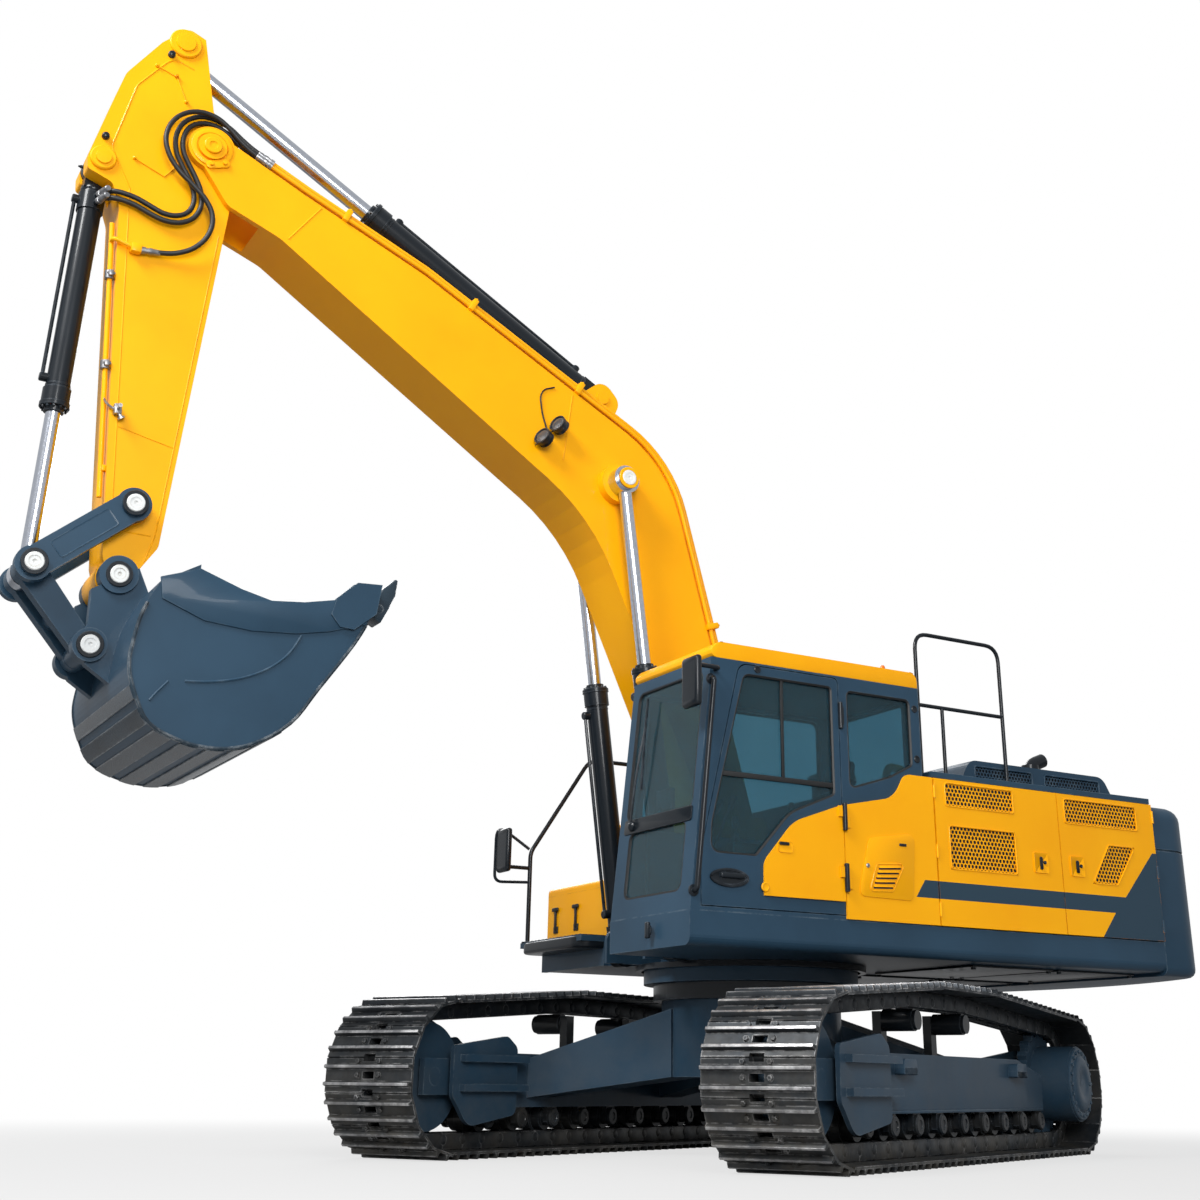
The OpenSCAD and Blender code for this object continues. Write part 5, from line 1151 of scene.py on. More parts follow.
trim = []
plug = lathe([(-0.004, 0.062), (0.016, 0.062), (0.02, 0.057), (0.02, 0.03), (0.014, 0.026), (0.014, 0.012)],
             32)
bar_plate = keeper(0.17, 0.062, 0.016)
for s in (1, -1):
    trim.append(copy_of(plug, axis_at((nose.x, s * 0.271, nose.z), (0, s, 0))))
    at = boom_frame @ Vector((BOOM_L - 0.125, s * BOOM_HALF, -0.045))
    out = Matrix.Translation(at) @ spun(20, "Y") @ spun(-s * 90, "X")
    trim.append(copy_of(bar_plate, out))
    ring = lathe([(-0.004, 0.148), (0.008, 0.148), (0.012, 0.142), (0.012, 0.112), (-0.004, 0.108),
                  (-0.004, 0.148)], 40, True)
    trim.append(settle(ring, axis_at((nose.x, s * BOOM_HALF, nose.z), (0, s, 0))))
drop(plug)
drop(bar_plate)
WELDS = [[(5.7, 0.435), (5.62, 0.06)], [(3.55, 1.255), (3.2, 0.84)]]
for s in (1, -1):
    for line in WELDS:
        trim.append(tube([boom_frame @ Vector((u, s * 0.2445, v)) for u, v in line], 0.006, 8))
dress(joined(trim), "boom_trim", "boom", "yellow_paint")
print("boom trim", added["boom_trim"], "triangles")

# %% [markdown]
# ## Arm details
# The arm's head carries two pivots for the cylinders, each in a round boss, and a stiffening rib that
# follows the outline of the head. The box is closed with welded flanges, so a thin line runs along
# each long edge.

# %% Bosses, ribs and flanges
def boss(r, reach):
    return lathe([(-0.004, r), (reach - 0.008, r), (reach, r - 0.008), (reach, r * 0.62),
                  (reach + 0.012, r * 0.58), (reach + 0.014, r * 0.2)], 36)


ARM_HALF = 0.19


def on_arm(u, y, v):
    return arm_frame @ shift(u * ARM_L, y, v * ARM_H)


def arm_line(points, s, y=ARM_HALF - 0.0005):
    return [on_arm(u, s * y, v).translation for u, v in points]


parts = []
pivots = ((boss(0.115, 0.022), arm_head), (boss(0.088, 0.026), dig_base),
          (lathe([(-0.004, 0.1), (0.034, 0.1), (0.0345, 0.09)], 36), rocker_pin))
RIB = [(-0.19, 0.3), (-0.2, 0.5), (-0.1, 0.745), (0.07, 0.83), (0.155, 0.6)]
EDGES = (([(0.155, 0.6), (0.3, 0.505), (0.93, 0.105)], 0.005),
         ([(0.2, -0.235), (0.9, -0.235), (0.955, -0.19)], 0.005), ([(0.69, 0.245), (0.705, -0.235)], 0.0045),
         ([(0.905, 0.12), (0.9, -0.2)], 0.0045))
for s in (1, -1):
    parts += [copy_of(model, axis_at((at.x, s * ARM_HALF, at.z), (0, s, 0))) for model, at in pivots]
    parts.append(tube(bent(arm_line(RIB, s), 0.12), 0.0065, 8))
    parts += [tube(arm_line(points, s), r, 8) for points, r in EDGES]
for model, at in pivots:
    drop(model)
lift = lathe([(0, 0.03), (0.01, 0.045), (0.02, 0.045), (0.024, 0.03)], 20)
parts.append(settle(lift, on_arm(-0.275, 0.11, 0.33) @ spun(-90, "Y")))
dress(joined(parts), "arm_trim", "arm", "yellow_paint")

cap = lathe([(0, 0.026), (0.02, 0.026), (0.024, 0.022), (0.032, 0.022), (0.038, 0.012)], 16)
caps = copies(cap, [on_arm(u, s * ARM_HALF, v) @ spun(-s * 90, "X") for s in (1, -1)
                    for u, v in ((-0.205, 0.52), (0.052, 0.9))])
dress(joined(caps), "arm_grease_caps", "arm", "black_paint")

lines = []
knob = lathe([(0, 0.014), (0.014, 0.014), (0.018, 0.009), (0.026, 0.009)], 10)
for route in ([(-0.155, 0.43), (-0.165, 0.62)], [(-0.155, 0.43), (-0.1, 0.3)],
              [(0.08, 0.62), (0.1, 0.34), (0.06, 0.24)]):
    lines.append(tube(arm_line(route, 1, 0.194), 0.005, 8))
    lines += [copy_of(knob, on_arm(u, ARM_HALF, v) @ spun(-90, "X")) for u, v in (route[0], route[-1])]
drop(knob)
dress(joined(lines), "arm_grease_lines", "arm", "yellow_paint")
print("arm trim", added["arm_trim"], "triangles")

# %% [markdown]
# ## Bucket details
# A bucket is worn by the ground, so wear bands are welded round its heel, a thicker plate stiffens
# the upper side and a bead closes the wrapper. Teeth are cast wedges on adapters that straddle the
# lip.

# %% Wrapper line
REACH, DEPTH = 1.74, 1.092
WRAP = [(-0.86, -0.13), (-0.8, -0.32), (-0.68, -0.61), (-0.59, -0.82), (-0.46, -0.957), (-0.34, -1),
        (-0.22, -0.98), (-0.105, -0.9), (-0.044, -0.74), (-0.018, -0.61), (-0.02, -0.48), (-0.04, -0.3),
        (-0.09, -0.12)]
wrapper = [Vector((p[0], p[2])) for p in flowing([(u * REACH, 0, v * DEPTH) for u, v in WRAP], 4)]


def wrap_offset(i, d):
    a, b = wrapper[max(i - 1, 0)], wrapper[min(i + 1, len(wrapper) - 1)]
    way = (b - a).normalized()
    return wrapper[i] + Vector((way.y, -way.x)) * d


def wear_band(first, last, half_w, thick):
    outer = [wrap_offset(i, thick) for i in range(first, last + 1)]
    inner = [wrap_offset(i, -0.004) for i in range(last, first - 1, -1)]
    band = plate([tuple(p) for p in outer + inner], 2 * half_w, beside(bucket_frame, -half_w))
    return soften(band, 0.004, 1, 50)


BUCKET_HALF = 0.742
bands = [wear_band(i, i + 2, BUCKET_HALF, 0.012) for i in range(13, 33, 3)]
bands.append(wear_band(4, 11, BUCKET_HALF, 0.006))
rim = [wrap_offset(i, -0.004) for i in range(2, 46)]
for s in (1, -1):
    bands.append(tube([bucket_frame @ Vector((p.x, s * BUCKET_HALF, p.y)) for p in rim], 0.012, 8))
dress(joined(bands), "bucket_wear_bands", "bucket", "slate_paint", look=worn_slate)
print("wear bands", added["bucket_wear_bands"], "triangles")

# %% Side plates, beads and ears
UPPER = [(-0.085, -0.1), (-0.22, -0.02), (-0.37, -0.1), (-0.48, -0.14), (-0.6, -0.12), (-0.71, -0.08),
         (-0.78, 0.03), (-0.868, 0.035), (-0.835, -0.2), (-0.7, -0.27), (-0.58, -0.31), (-0.42, -0.33),
         (-0.25, -0.31), (-0.1, -0.22)]
BEADS = (([(-0.6, -0.315), (-0.56, -0.43), (-0.49, -0.53), (-0.4, -0.6), (-0.3, -0.64), (-0.21, -0.655)], 4,
          0.009),
         ([(-0.155, -0.665), (-0.12, -0.735), (-0.1, -0.78)], 3, 0.008))
SIDE_PLATE = 0.012
parts = []
for s in (1, -1):
    y = 0.7395 if s > 0 else -0.7395 - SIDE_PLATE
    upper = plate([(u * REACH, v * DEPTH) for u, v in UPPER], SIDE_PLATE, beside(bucket_frame, y))
    parts.append(soften(upper, 0.004, 2, 50))
    for points, steps_between, r in BEADS:
        curve = flowing([(u * REACH, s * 0.74, v * DEPTH) for u, v in points], steps_between)
        parts.append(tube([bucket_frame @ Vector(p) for p in curve], r, 8))
    eye = lathe([(-0.004, 0.04), (0.008, 0.06), (0.014, 0.06), (0.014, 0.045), (-0.004, 0.04)], 28, True)
    parts.append(settle(eye, bucket_frame @ axis_at((0.07 * REACH, s * 0.262, -0.4 * DEPTH), (0, s, 0))))
dress(joined(parts), "bucket_side_plates", "bucket", "slate_paint")
print("bucket sides", added["bucket_side_plates"], "triangles")

# %% Teeth
def tooth():
    cast = block((0.0005, -0.075, -0.03), (0.12, 0.075, 0.08))
    extrude(cast, lambda c, n: n.x > 0.9, (0.03, 0, 0.004), 0.88)
    extrude(cast, lambda c, n: n.x > 0.9, (0.07, 0, 0.002), 0.92)
    pick(cast, lambda c, n: n.x > 0.9)
    bpy.ops.mesh.extrude_region_move(TRANSFORM_OT_translate={"value": (0.1, 0, -0.002)})
    bpy.ops.transform.resize(value=(1, 0.92, 0.22))
    leave()
    soften(cast, 0.008, 2, 30)
    pin_boss = lathe([(-0.079, 0.02), (-0.077, 0.024), (0.077, 0.024), (0.079, 0.02)], 16)
    settle(pin_boss, shift(0.075, 0, 0.025) @ spun(90, "X"))
    return joined([cast, pin_boss])


tilt = Matrix.Rotation(-math.atan2(0.2074, -0.1044), 4, "Y")
row = copies(tooth(), [bucket_frame @ shift(-1.4964, 0.3125 * k, -0.142) @ tilt for k in range(-2, 3)])
dress(joined(row), "bucket_cast_teeth", "bucket", "black_paint", 35, ["bucket_teeth"], worn_slate)

# %% Rocker pockets
def pocket(p, q, y, s):
    base = frame_at((p.x, y, p.z), q - p, (0, 1, 0))
    length = (q - p).length
    slab = plate(rounded(oblong(0.15, -0.062, length - 0.15, 0.062, 0.02)), 0.008, beside(base, -0.004))
    inset(slab, lambda c, n: n.y * s > 0.9, 0.016, -0.007)
    return soften(slab, 0.002, 2, 30)


parts = [pocket(rocker_pin, link_pin, s * 0.285, s) for s in (1, -1)]
dress(joined(parts), "rocker_pockets", "rocker", "slate_paint")
print("teeth", len(row), "rockers", len(parts))

# %% [markdown]
# ## Side doors
# The doors of the engine bay breathe through sheets with six-sided holes. A sheet is one ring-shaped
# cell, repeated by two array modifiers and trimmed to the opening by one bisect along each of its
# edges. A black screen behind it hides the bay: it stands for the dark radiator core and paints the
# shade inside the bay into the holes. A pressed lip closes the cut edge of the door.

# %% Perforated sheet
def trimmed(obj, corners):
    centre = sum((Vector(c) for c in corners), Vector((0, 0))) / len(corners)
    for a, b in zip(corners, list(corners[1:]) + [corners[0]]):
        out = Vector((b[1] - a[1], a[0] - b[0]))
        if out.dot(centre - Vector(a)) > 0:
            out = -out
        edit_all(obj)
        bpy.ops.mesh.bisect(plane_co=(*a, 0), plane_no=(*out, 0), clear_outer=True)
        leave()
    return obj


WEB, SHEET_T, LIP_R = 0.0085, 0.003, 0.006


def hex_sheet(corners, y, pitch=0.032):
    r = pitch / math.sqrt(3)
    low = [min(c[i] for c in corners) for i in (0, 1)]
    high = [max(c[i] for c in corners) for i in (0, 1)]
    clear()
    bpy.ops.mesh.primitive_circle_add(vertices=6, radius=r, fill_type="NGON")
    cell = bpy.context.object
    for k, v in enumerate(cell.data.vertices):
        v.co = (r * math.sin(k * math.pi / 3), r * math.cos(k * math.pi / 3), 0)
    pick(cell, lambda c, n: True)
    bpy.ops.mesh.inset(thickness=WEB / 2)
    bpy.ops.mesh.delete(type="FACE")
    leave()
    twin = copy_of(cell, shift(pitch / 2, 1.5 * r, 0))
    sheet = joined([cell, twin])
    for i, step in enumerate(((pitch, 0, 0), (0, 3 * r, 0))):
        count = int((high[i] - low[i]) / step[i]) + 2
        apply_modifier(sheet, "ARRAY", count=count, use_relative_offset=False, use_constant_offset=True,
                       constant_offset_displace=step)
    outward(settle(sheet, shift(*low, 0)))
    trimmed(sheet, corners)
    apply_modifier(sheet, "SOLIDIFY", thickness=SHEET_T, offset=0)
    return outward(settle(sheet, beside(world_frame, y)))


def lip_round(corners, y):
    ring = rounded([(*c, 0.02) for c in corners], 3)
    return tube([(u, y, v) for u, v in ring], LIP_R, 8, True)


DOOR_FACE = 1.4918
DOORS = {
    "front": [oblong(-1.26, 2.25, -0.641, 2.41),
              oblong(-1.257, 1.829, -0.66, 2.119)],
    "rear": [oblong(-2.472, 2.226, -1.751, 2.4),
             [(-2.219, 1.819), (-1.975, 1.819), (-2.163, 2.101), (-2.427, 2.101)]],
}
print("openings", sum(len(v) for v in DOORS.values()))

# %% Latches
def latch_frame():
    frame_plate = plate(rounded(oblong(-0.066, -0.07, 0.066, 0.07, 0.012)), 0.009, world_frame)
    inset(frame_plate, lambda c, n: n.z > 0.9, 0.014, -0.007)
    return soften(frame_plate, 0.002, 2, 30)


def latch_paddle():
    paddle = block((-0.013, -0.044, 0.002), (0.013, 0.03, 0.013))
    extrude(paddle, lambda c, n: n.y > 0.9, (0, 0.012, 0), 0.7)
    key = lathe([(0.002, 0.012), (0.012, 0.012), (0.014, 0.009), (0.01, 0.004)], 14)
    return joined([soften(paddle, 0.003, 2, 40), settle(key, shift(0.034, 0.005, 0))])


one_frame, one_paddle = latch_frame(), latch_paddle()
LATCH = {"front": (-1.483, 1.926), "rear": (-1.831, 1.925)}
for which, openings in DOORS.items():
    u, v = LATCH[which]
    face = shift(u, DOOR_FACE, v) @ spun(180, "Z") @ spun(90, "X")
    bright = [hex_sheet(c, 1.4835) for c in openings] + [lip_round(c, 1.492) for c in openings]
    bright.append(copy_of(one_frame, face))
    # The black plate in each opening stands for the dark radiator core and paints the shade inside the bay
    # into the holes.
    dark = [plate(c, 0.0015, beside(world_frame, 1.4785)) for c in openings] + [copy_of(one_paddle, face)]
    for side in ("left", "right"):
        body = "side_door_" + side + "_" + which
        mesh, screen = joined(bright), joined(dark)
        if side == "left":
            bright, dark = [mirrored(mesh)], [mirrored(screen)]
        dress(mesh, "door_mesh_" + side + "_" + which, body, "yellow_paint", 30)
        dress(screen, "door_shade_screen_" + side + "_" + which, body, "black_paint", 30)
drop(one_frame)
drop(one_paddle)
print("door mesh", added["door_mesh_left_front"], added["door_mesh_left_rear"], "triangles")

# %% [markdown]
# ## Service hatch
# Behind the cab door a small hatch with five louvres gives access to a filter. It is a plate with
# rounded corners that stands a little proud, a lipped field, black slots that paint the shade
# behind the louvres, and a bent lip over each slot.

# %% Hatch with louvres
HATCH = [(0.04, 1.981, 0.05), (-0.347, 2.039, 0.05), (-0.311, 1.595, 0.04), (0.142, 1.602, 0.04)]
HATCH_FACE = 1.4985
FIELD = [(-0.014, 1.815), (-0.251, 1.832), (-0.14, 1.646), (0.054, 1.638)]


def lerp2(a, b, t):
    return (a[0] + (b[0] - a[0]) * t, a[1] + (b[1] - a[1]) * t)


cover = soften(plate(rounded(HATCH, 6), 0.007, beside(world_frame, 1.4915)), 0.003, 2, 40)
bright = [cover, lip_round(FIELD, HATCH_FACE)]
dark = []
for k in range(5):
    t = 0.12 + 0.175 * k
    a, b = lerp2(FIELD[0], FIELD[3], t), lerp2(FIELD[1], FIELD[2], t)
    a, b = lerp2(a, b, 0.1), lerp2(a, b, 0.9)
    slot = [a, b, (b[0], b[1] - 0.016), (a[0], a[1] - 0.016)]
    # Each slot is a thin black plate that paints the shade behind its louvre.
    dark.append(plate(slot, 0.0012, beside(world_frame, HATCH_FACE - 0.0002)))
    lip = plate([a, b, (b[0], b[1] + 0.01), (a[0], a[1] + 0.01)], 0.004, beside(world_frame, HATCH_FACE))
    extrude(lip, lambda c, n: n.z < -0.7, (0, 0.008, -0.006))
    bright.append(soften(lip, 0.002, 2, 40))
dark.append(soften(plate(rounded(oblong(-0.27, 1.945, -0.21, 1.963, 0.005), 3), 0.006,
                         beside(world_frame, HATCH_FACE)), 0.002, 2, 40))
dress(joined(bright), "hatch_cover", "house", "yellow_paint", 30)
dress(joined(dark), "hatch_shade_slots", "house", "black_paint", 30)
button = lathe([(0, 0.014), (0.006, 0.014), (0.009, 0.01)], 18)
dress(settle(button, axis_at((0.062, HATCH_FACE, 1.8), (0, 1, 0))), "hatch_lock", "house", "chrome_rod", 30,
      look=rubbed_steel)
print("hatch", added["hatch_cover"], "triangles")

# %% [markdown]
# ## Hood and deck
# The hood's raised middle has two meshes towards the operator's side. Beside it stand the air intake
# and a bent pipe, and the deck around carries grip pads so that a fitter can walk on it.

# %% Hood meshes and pads
HOOD_OPENINGS = [oblong(-2.445, 2.524, -1.887, 2.63),
                 oblong(-1.763, 2.524, -1.205, 2.63)]
mesh = [hex_sheet(c, 1.168, 0.03) for c in HOOD_OPENINGS] + [lip_round(c, 1.18) for c in HOOD_OPENINGS]
dress(joined(mesh), "hood_mesh", "hood", "slate_paint", 30)
# The black plate under each mesh paints the shade inside the engine bay into its holes.
screen = [plate(c, 0.002, beside(world_frame, 1.158)) for c in HOOD_OPENINGS]
dress(joined(screen), "hood_shade_screen", "hood", "black_paint", 30)


def grip_pad(low, high):
    pad = soften(block(low, high), 0.004, 2, 40)
    stud = lathe([(0, 0.012), (0.003, 0.012), (0.006, 0.008)], 8)
    wide, deep = high[0] - low[0], high[1] - low[1]
    nx, ny = int(wide / 0.06), int(deep / 0.06)
    spots = [shift(low[0] + (i + 0.5) * wide / nx, low[1] + (j + 0.5) * deep / ny, high[2])
             for i in range(nx) for j in range(ny)]
    return joined([pad] + copies(stud, spots))


pads = [grip_pad((-1.00, -1.1, 2.48), (-0.62, -0.3, 2.486)),
        grip_pad((-1.00, 0.25, 2.48), (-0.62, 1.05, 2.486))]
dress(joined(pads), "deck_grip_pads", "house", "black_paint", 30)
cowl = lathe([(0, 0.14), (0.02, 0.16), (0.1, 0.16), (0.13, 0.19), (0.17, 0.19), (0.2, 0.15), (0.205, 0.06)],
             28)
dress(settle(cowl, shift(-0.7, 0.12, 2.48)), "air_intake", "house", "black_paint", 30)
bend_pipe = tube(bent([(-0.86, 0.8, 2.487), (-0.86, 0.8, 2.62), (-0.66, 0.86, 2.62), (-0.62, 0.86, 2.487)],
                      0.08), 0.03, 12)
dress(bend_pipe, "deck_pipe", "house", "yellow_paint", 40)
tip = tube(bent([(-2.42, 0.48, 2.72), (-2.42, 0.48, 2.86), (-2.56, 0.48, 2.915)], 0.1), 0.055, 16)
guard = lathe([(0.0, 0.085), (0.0, 0.105), (0.14, 0.105), (0.146, 0.098), (0.146, 0.078), (0.0, 0.085)], 28,
              True)
settle(guard, shift(-2.42, 0.48, 2.6703))
dress(joined([tip, guard]), "exhaust_tip", "hood", "black_paint")
print("hood", added["hood_mesh"], "pads", added["deck_grip_pads"])

# %% [markdown]
# ## Cab windows
# Each pane sits in a black rubber seal, and the door's window slides behind a crossbar and an
# upright. A seal is an extruded rubber strip, so it is a closed tube along the rounded outline of its
# window.

# %% Seals and bars
CAB_LEFT, CAB_RIGHT, CAB_REAR = 1.478, 0.478, -0.46
CAB_RAKE, SEAL_IN = 0.1022, 0.012


def cab_x(z):
    return 1.427 - CAB_RAKE * (z - 1.446)


DOOR_WINDOW = [(0.293, 2.97, 0.03), (1.01, 2.97, 0.06), (1.27, 1.98, 0.3), (1.275, 1.8, 0.06),
               (0.93, 1.8, 0.04), (0.66, 2.09, 0.3), (0.293, 2.24, 0.04)]
QUARTER_WINDOW = [(0.17, 2.96, 0.04), (-0.38, 2.96, 0.04), (-0.38, 2.5, 0.04), (-0.18, 2.4, 0.06),
                  (0.17, 2.29, 0.04)]
RIGHT_WINDOW = [(-0.3, 2.05, 0.06), (1.23, 2.05, 0.06), (1.17, 2.96, 0.06), (-0.3, 2.96, 0.06)]


def seal(outline, place):
    return tube([place(u, v) for u, v in rounded(outline)], 0.013, 8, True)


door_seal = seal(DOOR_WINDOW, lambda x, z: (x, CAB_LEFT - SEAL_IN, z))
crossbar = soften(block((0.29, 1.455, 2.285), (1.186, 1.472, 2.32)), 0.005)
upright = soften(block((0.69, 1.455, 2.31), (0.712, 1.472, 2.968)), 0.005)
dress(joined([door_seal, crossbar, upright]), "cab_door_seal", "cab_door", "hose_rubber")
seals = [seal(QUARTER_WINDOW, lambda x, z: (x, CAB_LEFT - SEAL_IN, z)),
         seal(RIGHT_WINDOW, lambda x, z: (x, CAB_RIGHT + SEAL_IN, z)),
         seal(oblong(0.6, 2.25, 1.36, 2.96, 0.06), lambda y, z: (CAB_REAR + SEAL_IN, y, z)),
         seal(oblong(0.62, 1.57, 1.34, 2.01, 0.06), lambda y, z: (cab_x(z) - SEAL_IN, y, z)),
         seal(oblong(0.56, 2.08, 1.4, 2.97, 0.06), lambda y, z: (cab_x(z) - SEAL_IN, y, z))]
dress(joined(seals), "cab_window_seals", "house", "hose_rubber")
print("cab seals", added["cab_window_seals"] + added["cab_door_seal"], "triangles")

# %% [markdown]
# ## Cab roof
# The roof is a pressed steel cap with soft edges, a sunk panel and an escape hatch. It starts as the
# side outline drawn across the cab; its top is inset and pushed down, then every edge is rolled.

# %% Roof, hatch and beacon
roof = plate(rounded([(-0.46, 3.05), (1.323, 3.05, 0.04), (1.203, 3.16, 0.07), (-0.46, 3.16, 0.06)]), 1.0,
             beside(world_frame, 0.478))
inset(roof, lambda c, n: n.z > 0.98 and c.z > 3.15, 0.11, -0.012)
dress(soften(roof, 0.016, 3, 28), "cab_roof_cap", "house", "yellow_paint", 40, ["cab_roof"])
hatch = plate(rounded(oblong(0.05, 0.72, 0.75, 1.24, 0.07)), 0.024,
              shift(0, 0, 3.146))
inset(hatch, lambda c, n: n.z > 0.9, 0.05, -0.008)
hatch_grip = tube(bent([(0.66, 0.9, 3.165), (0.66, 0.9, 3.2), (0.66, 1.06, 3.2), (0.66, 1.06, 3.165)], 0.02),
                  0.009, 8)
dress(joined([soften(hatch, 0.008, 2), hatch_grip]), "cab_roof_hatch", "house", "slate_paint")
beacon = lathe([(0, 0.02), (0.01, 0.024), (0.05, 0.024), (0.052, 0.018), (0.075, 0.018), (0.085, 0.012)], 20)
dress(settle(beacon, shift(-0.3, 1.3, 3.147)), "cab_roof_beacon", "house", "yellow_paint", look=amber)
print("cab roof", added["cab_roof_cap"], "triangles")

# %% [markdown]
# ## Cab fittings
# The door has an oval handle, a pull in its yellow panel, a round plug and three hinges; the frame
# has its own screws. All are small bought parts, so each is shaped once from a plate or a turned
# form.

# %% Door handle, pull and hinges
oval = [(1.14 + 0.145 * math.cos(a), 1.652 + 0.057 * math.sin(a))
        for a in [k * math.pi / 16 for k in range(32)]]
handle = plate(oval, 0.012, beside(world_frame, CAB_LEFT))
inset(handle, lambda c, n: n.y > 0.9, 0.014)
inset(handle, lambda c, n: n.y > 0.9 and abs(c.z - 1.652) < 0.01, 0.002, -0.009)
lever = soften(block((1.03, 1.482, 1.648), (1.21, 1.502, 1.682)), 0.009, 3)
pull_rim = plate(rounded(oblong(0.66, 1.835, 0.775, 1.905, 0.02)), 0.006,
                 beside(world_frame, 1.492))
inset(pull_rim, lambda c, n: n.y > 0.9, 0.012, -0.004)
pull = soften(block((0.69, 1.493, 1.88), (0.765, 1.506, 1.9)), 0.005)
dress(joined([soften(handle, 0.003), lever, pull]), "cab_door_handle", "cab_door", "black_paint")
plug = lathe([(0, 0.03), (0.006, 0.03), (0.009, 0.024), (0.007, 0.02)], 24)
plug = settle(plug, axis_at((0.877, 1.491, 1.611), (0, 1, 0)))
dress(joined([pull_rim, plug]), "cab_door_pull", "cab_door", "yellow_paint")
sleeve = lathe([(-0.09, 0.012), (-0.086, 0.017), (0.086, 0.017), (0.09, 0.012)], 18)
sleeves = copies(sleeve, [shift(0.24, 1.507, 1.71), shift(0.24, 1.507, 2.1), shift(0.232, 1.488, 2.78)])
leaf = soften(block((0.2, 1.474, 2.72), (0.232, 1.486, 2.84)), 0.004)
dress(joined(sleeves + [leaf]), "cab_hinge_sleeves", "house", "black_paint")
print("door fittings", added["cab_door_handle"] + added["cab_hinge_sleeves"], "triangles")

# %% Frame screws and the front sill
screw = lathe([(0, 0.026), (0.004, 0.026), (0.007, 0.021), (0.004, 0.012), (0.004, 0.006)], 20)
spots = [((0.9, CAB_LEFT, 3.01), (0, 1, 0)), ((-0.42, CAB_LEFT, 2.9), (0, 1, 0)),
         ((-0.42, CAB_LEFT, 2.55), (0, 1, 0)), ((-0.42, CAB_RIGHT, 2.9), (0, -1, 0)),
         ((1.2, CAB_RIGHT, 1.6), (0, -1, 0)), ((-0.4, CAB_RIGHT, 1.6), (0, -1, 0))]
screws = copies(screw, [axis_at(spot, way) for spot, way in spots])
latch = soften(block((1.46, 1.02, 1.3), (1.486, 1.06, 1.4)), 0.008, 3)
latch_foot = lathe([(0, 0.034), (0.008, 0.034), (0.012, 0.028)], 20)
latch_foot = settle(latch_foot, axis_at((1.46, 1.04, 1.35), (1, 0, 0)))
dress(joined(screws), "cab_frame_screws", "house", "black_paint")
dress(joined([latch, latch_foot]), "cab_sill_latch", "house", "black_paint")
print("frame screws", added["cab_frame_screws"], "triangles")

# %% [markdown]
# ## Wiper, grab rail and mirrors
# A black bar parts the two panes of the windscreen, and the wiper's motor sits on it. The grab rail
# is one bent tube beside the windscreen. Each mirror is a moulded housing on a bent arm with a
# polished face to the rear.

# %% Windscreen bar
bar_face = frame_at((cab_x(2.045), 0.98, 2.045), (0, 1, 0), (-CAB_RAKE, 0, 1))
bar = plate(rounded(oblong(-0.43, -0.048, 0.43, 0.048, 0.02)), 0.008, bar_face)
dress(soften(bar, 0.003), "windscreen_bar", "house", "black_paint")
print("windscreen bar", added["windscreen_bar"], "triangles")

# %% Wiper
pivot = Vector((cab_x(2.045) + 0.004, 0.66, 2.045))
tip = Vector((cab_x(2.72) + 0.014, 0.74, 2.72))
motor = lathe([(0, 0.034), (0.018, 0.034), (0.026, 0.026), (0.034, 0.012)], 20)
motor = settle(motor, axis_at(pivot, (1, 0, 0.1)))
wiper_arm = tube([pivot + Vector((0.022, 0, 0)), pivot.lerp(tip, 0.5) + Vector((0.03, 0, 0)),
                  tip + Vector((0.012, 0, 0))], 0.008, 8, handles=True)
low_end, high_end = pivot.lerp(tip, 0.35) + Vector((0.004, 0.05, 0)), tip + Vector((0.004, 0.012, 0.18))
blade = tube([low_end, low_end.lerp(high_end, 0.5) + Vector((0.003, 0, 0)), high_end], 0.009, 8, handles=True)
dress(joined([motor, wiper_arm, blade]), "cab_wiper", "house", "black_paint")

# %% Grab rail
rail_line = [(1.405, 1.478, 1.56), (1.405, 1.523, 1.56), (1.268, 1.523, 2.9), (1.268, 1.478, 2.9)]
rail = tube(bent(rail_line, 0.035), 0.017, 14)
foot_ring = lathe([(0, 0.036), (0.008, 0.036), (0.012, 0.026)], 24)
feet = copies(foot_ring, [axis_at(p, (0, 1, 0)) for p in (rail_line[0], rail_line[-1])])
dress(joined([rail] + feet), "cab_grab_tube", "house", "black_paint", 40, ["cab_grab_rail"])

# %% Mirrors
def mirror_head(x, y, z):
    head = block((x - 0.024, y - 0.095, z - 0.165), (x + 0.024, y + 0.095, z + 0.165))
    extrude(head, lambda c, n: n.x > 0.9, (0.001, 0, 0), 0.72)
    soften(head, 0.022, 4, 30)
    inset(head, lambda c, n: n.x < -0.95, 0.012, -0.004)
    return head


def mirror_face(x, y, z):
    face = plate(rounded(oblong(-0.068, -0.138, 0.068, 0.138, 0.02)),
                 0.003, frame_at((x - 0.0215, y, z), (0, -1, 0), (0, 0, 1)))
    inset(face, lambda c, n: n.x < -0.9, 0.006, 0.0005)
    return face


left_arm = tube(bent([(1.238, 1.478, 2.965), (1.238, 1.538, 2.965), (1.43, 1.538, 2.965)], 0.04), 0.015, 12)
right_arm = tube([(1.09, -1.44, 2.006), (1.3, -1.44, 2.006)], 0.015, 12)
loop = tube(bent([(1.1, -1.44, 1.9), (1.34, -1.55, 1.9), (1.34, -1.55, 2.34), (1.1, -1.44, 2.15)], 0.06),
            0.012, 10)
MIRROR_SPOTS = ((1.448, 1.538, 2.845), (1.317, -1.44, 2.126))
heads = [mirror_head(*spot) for spot in MIRROR_SPOTS]
dress(joined(heads + [left_arm, right_arm, loop]), "mirror_housings", "house", "black_paint", 40,
      ["mirrors"])
dress(joined([mirror_face(*spot) for spot in MIRROR_SPOTS]), "mirror_faces", "house", "chrome_rod")
print("rail and mirrors", added["cab_grab_tube"] + added["mirror_housings"], "triangles")

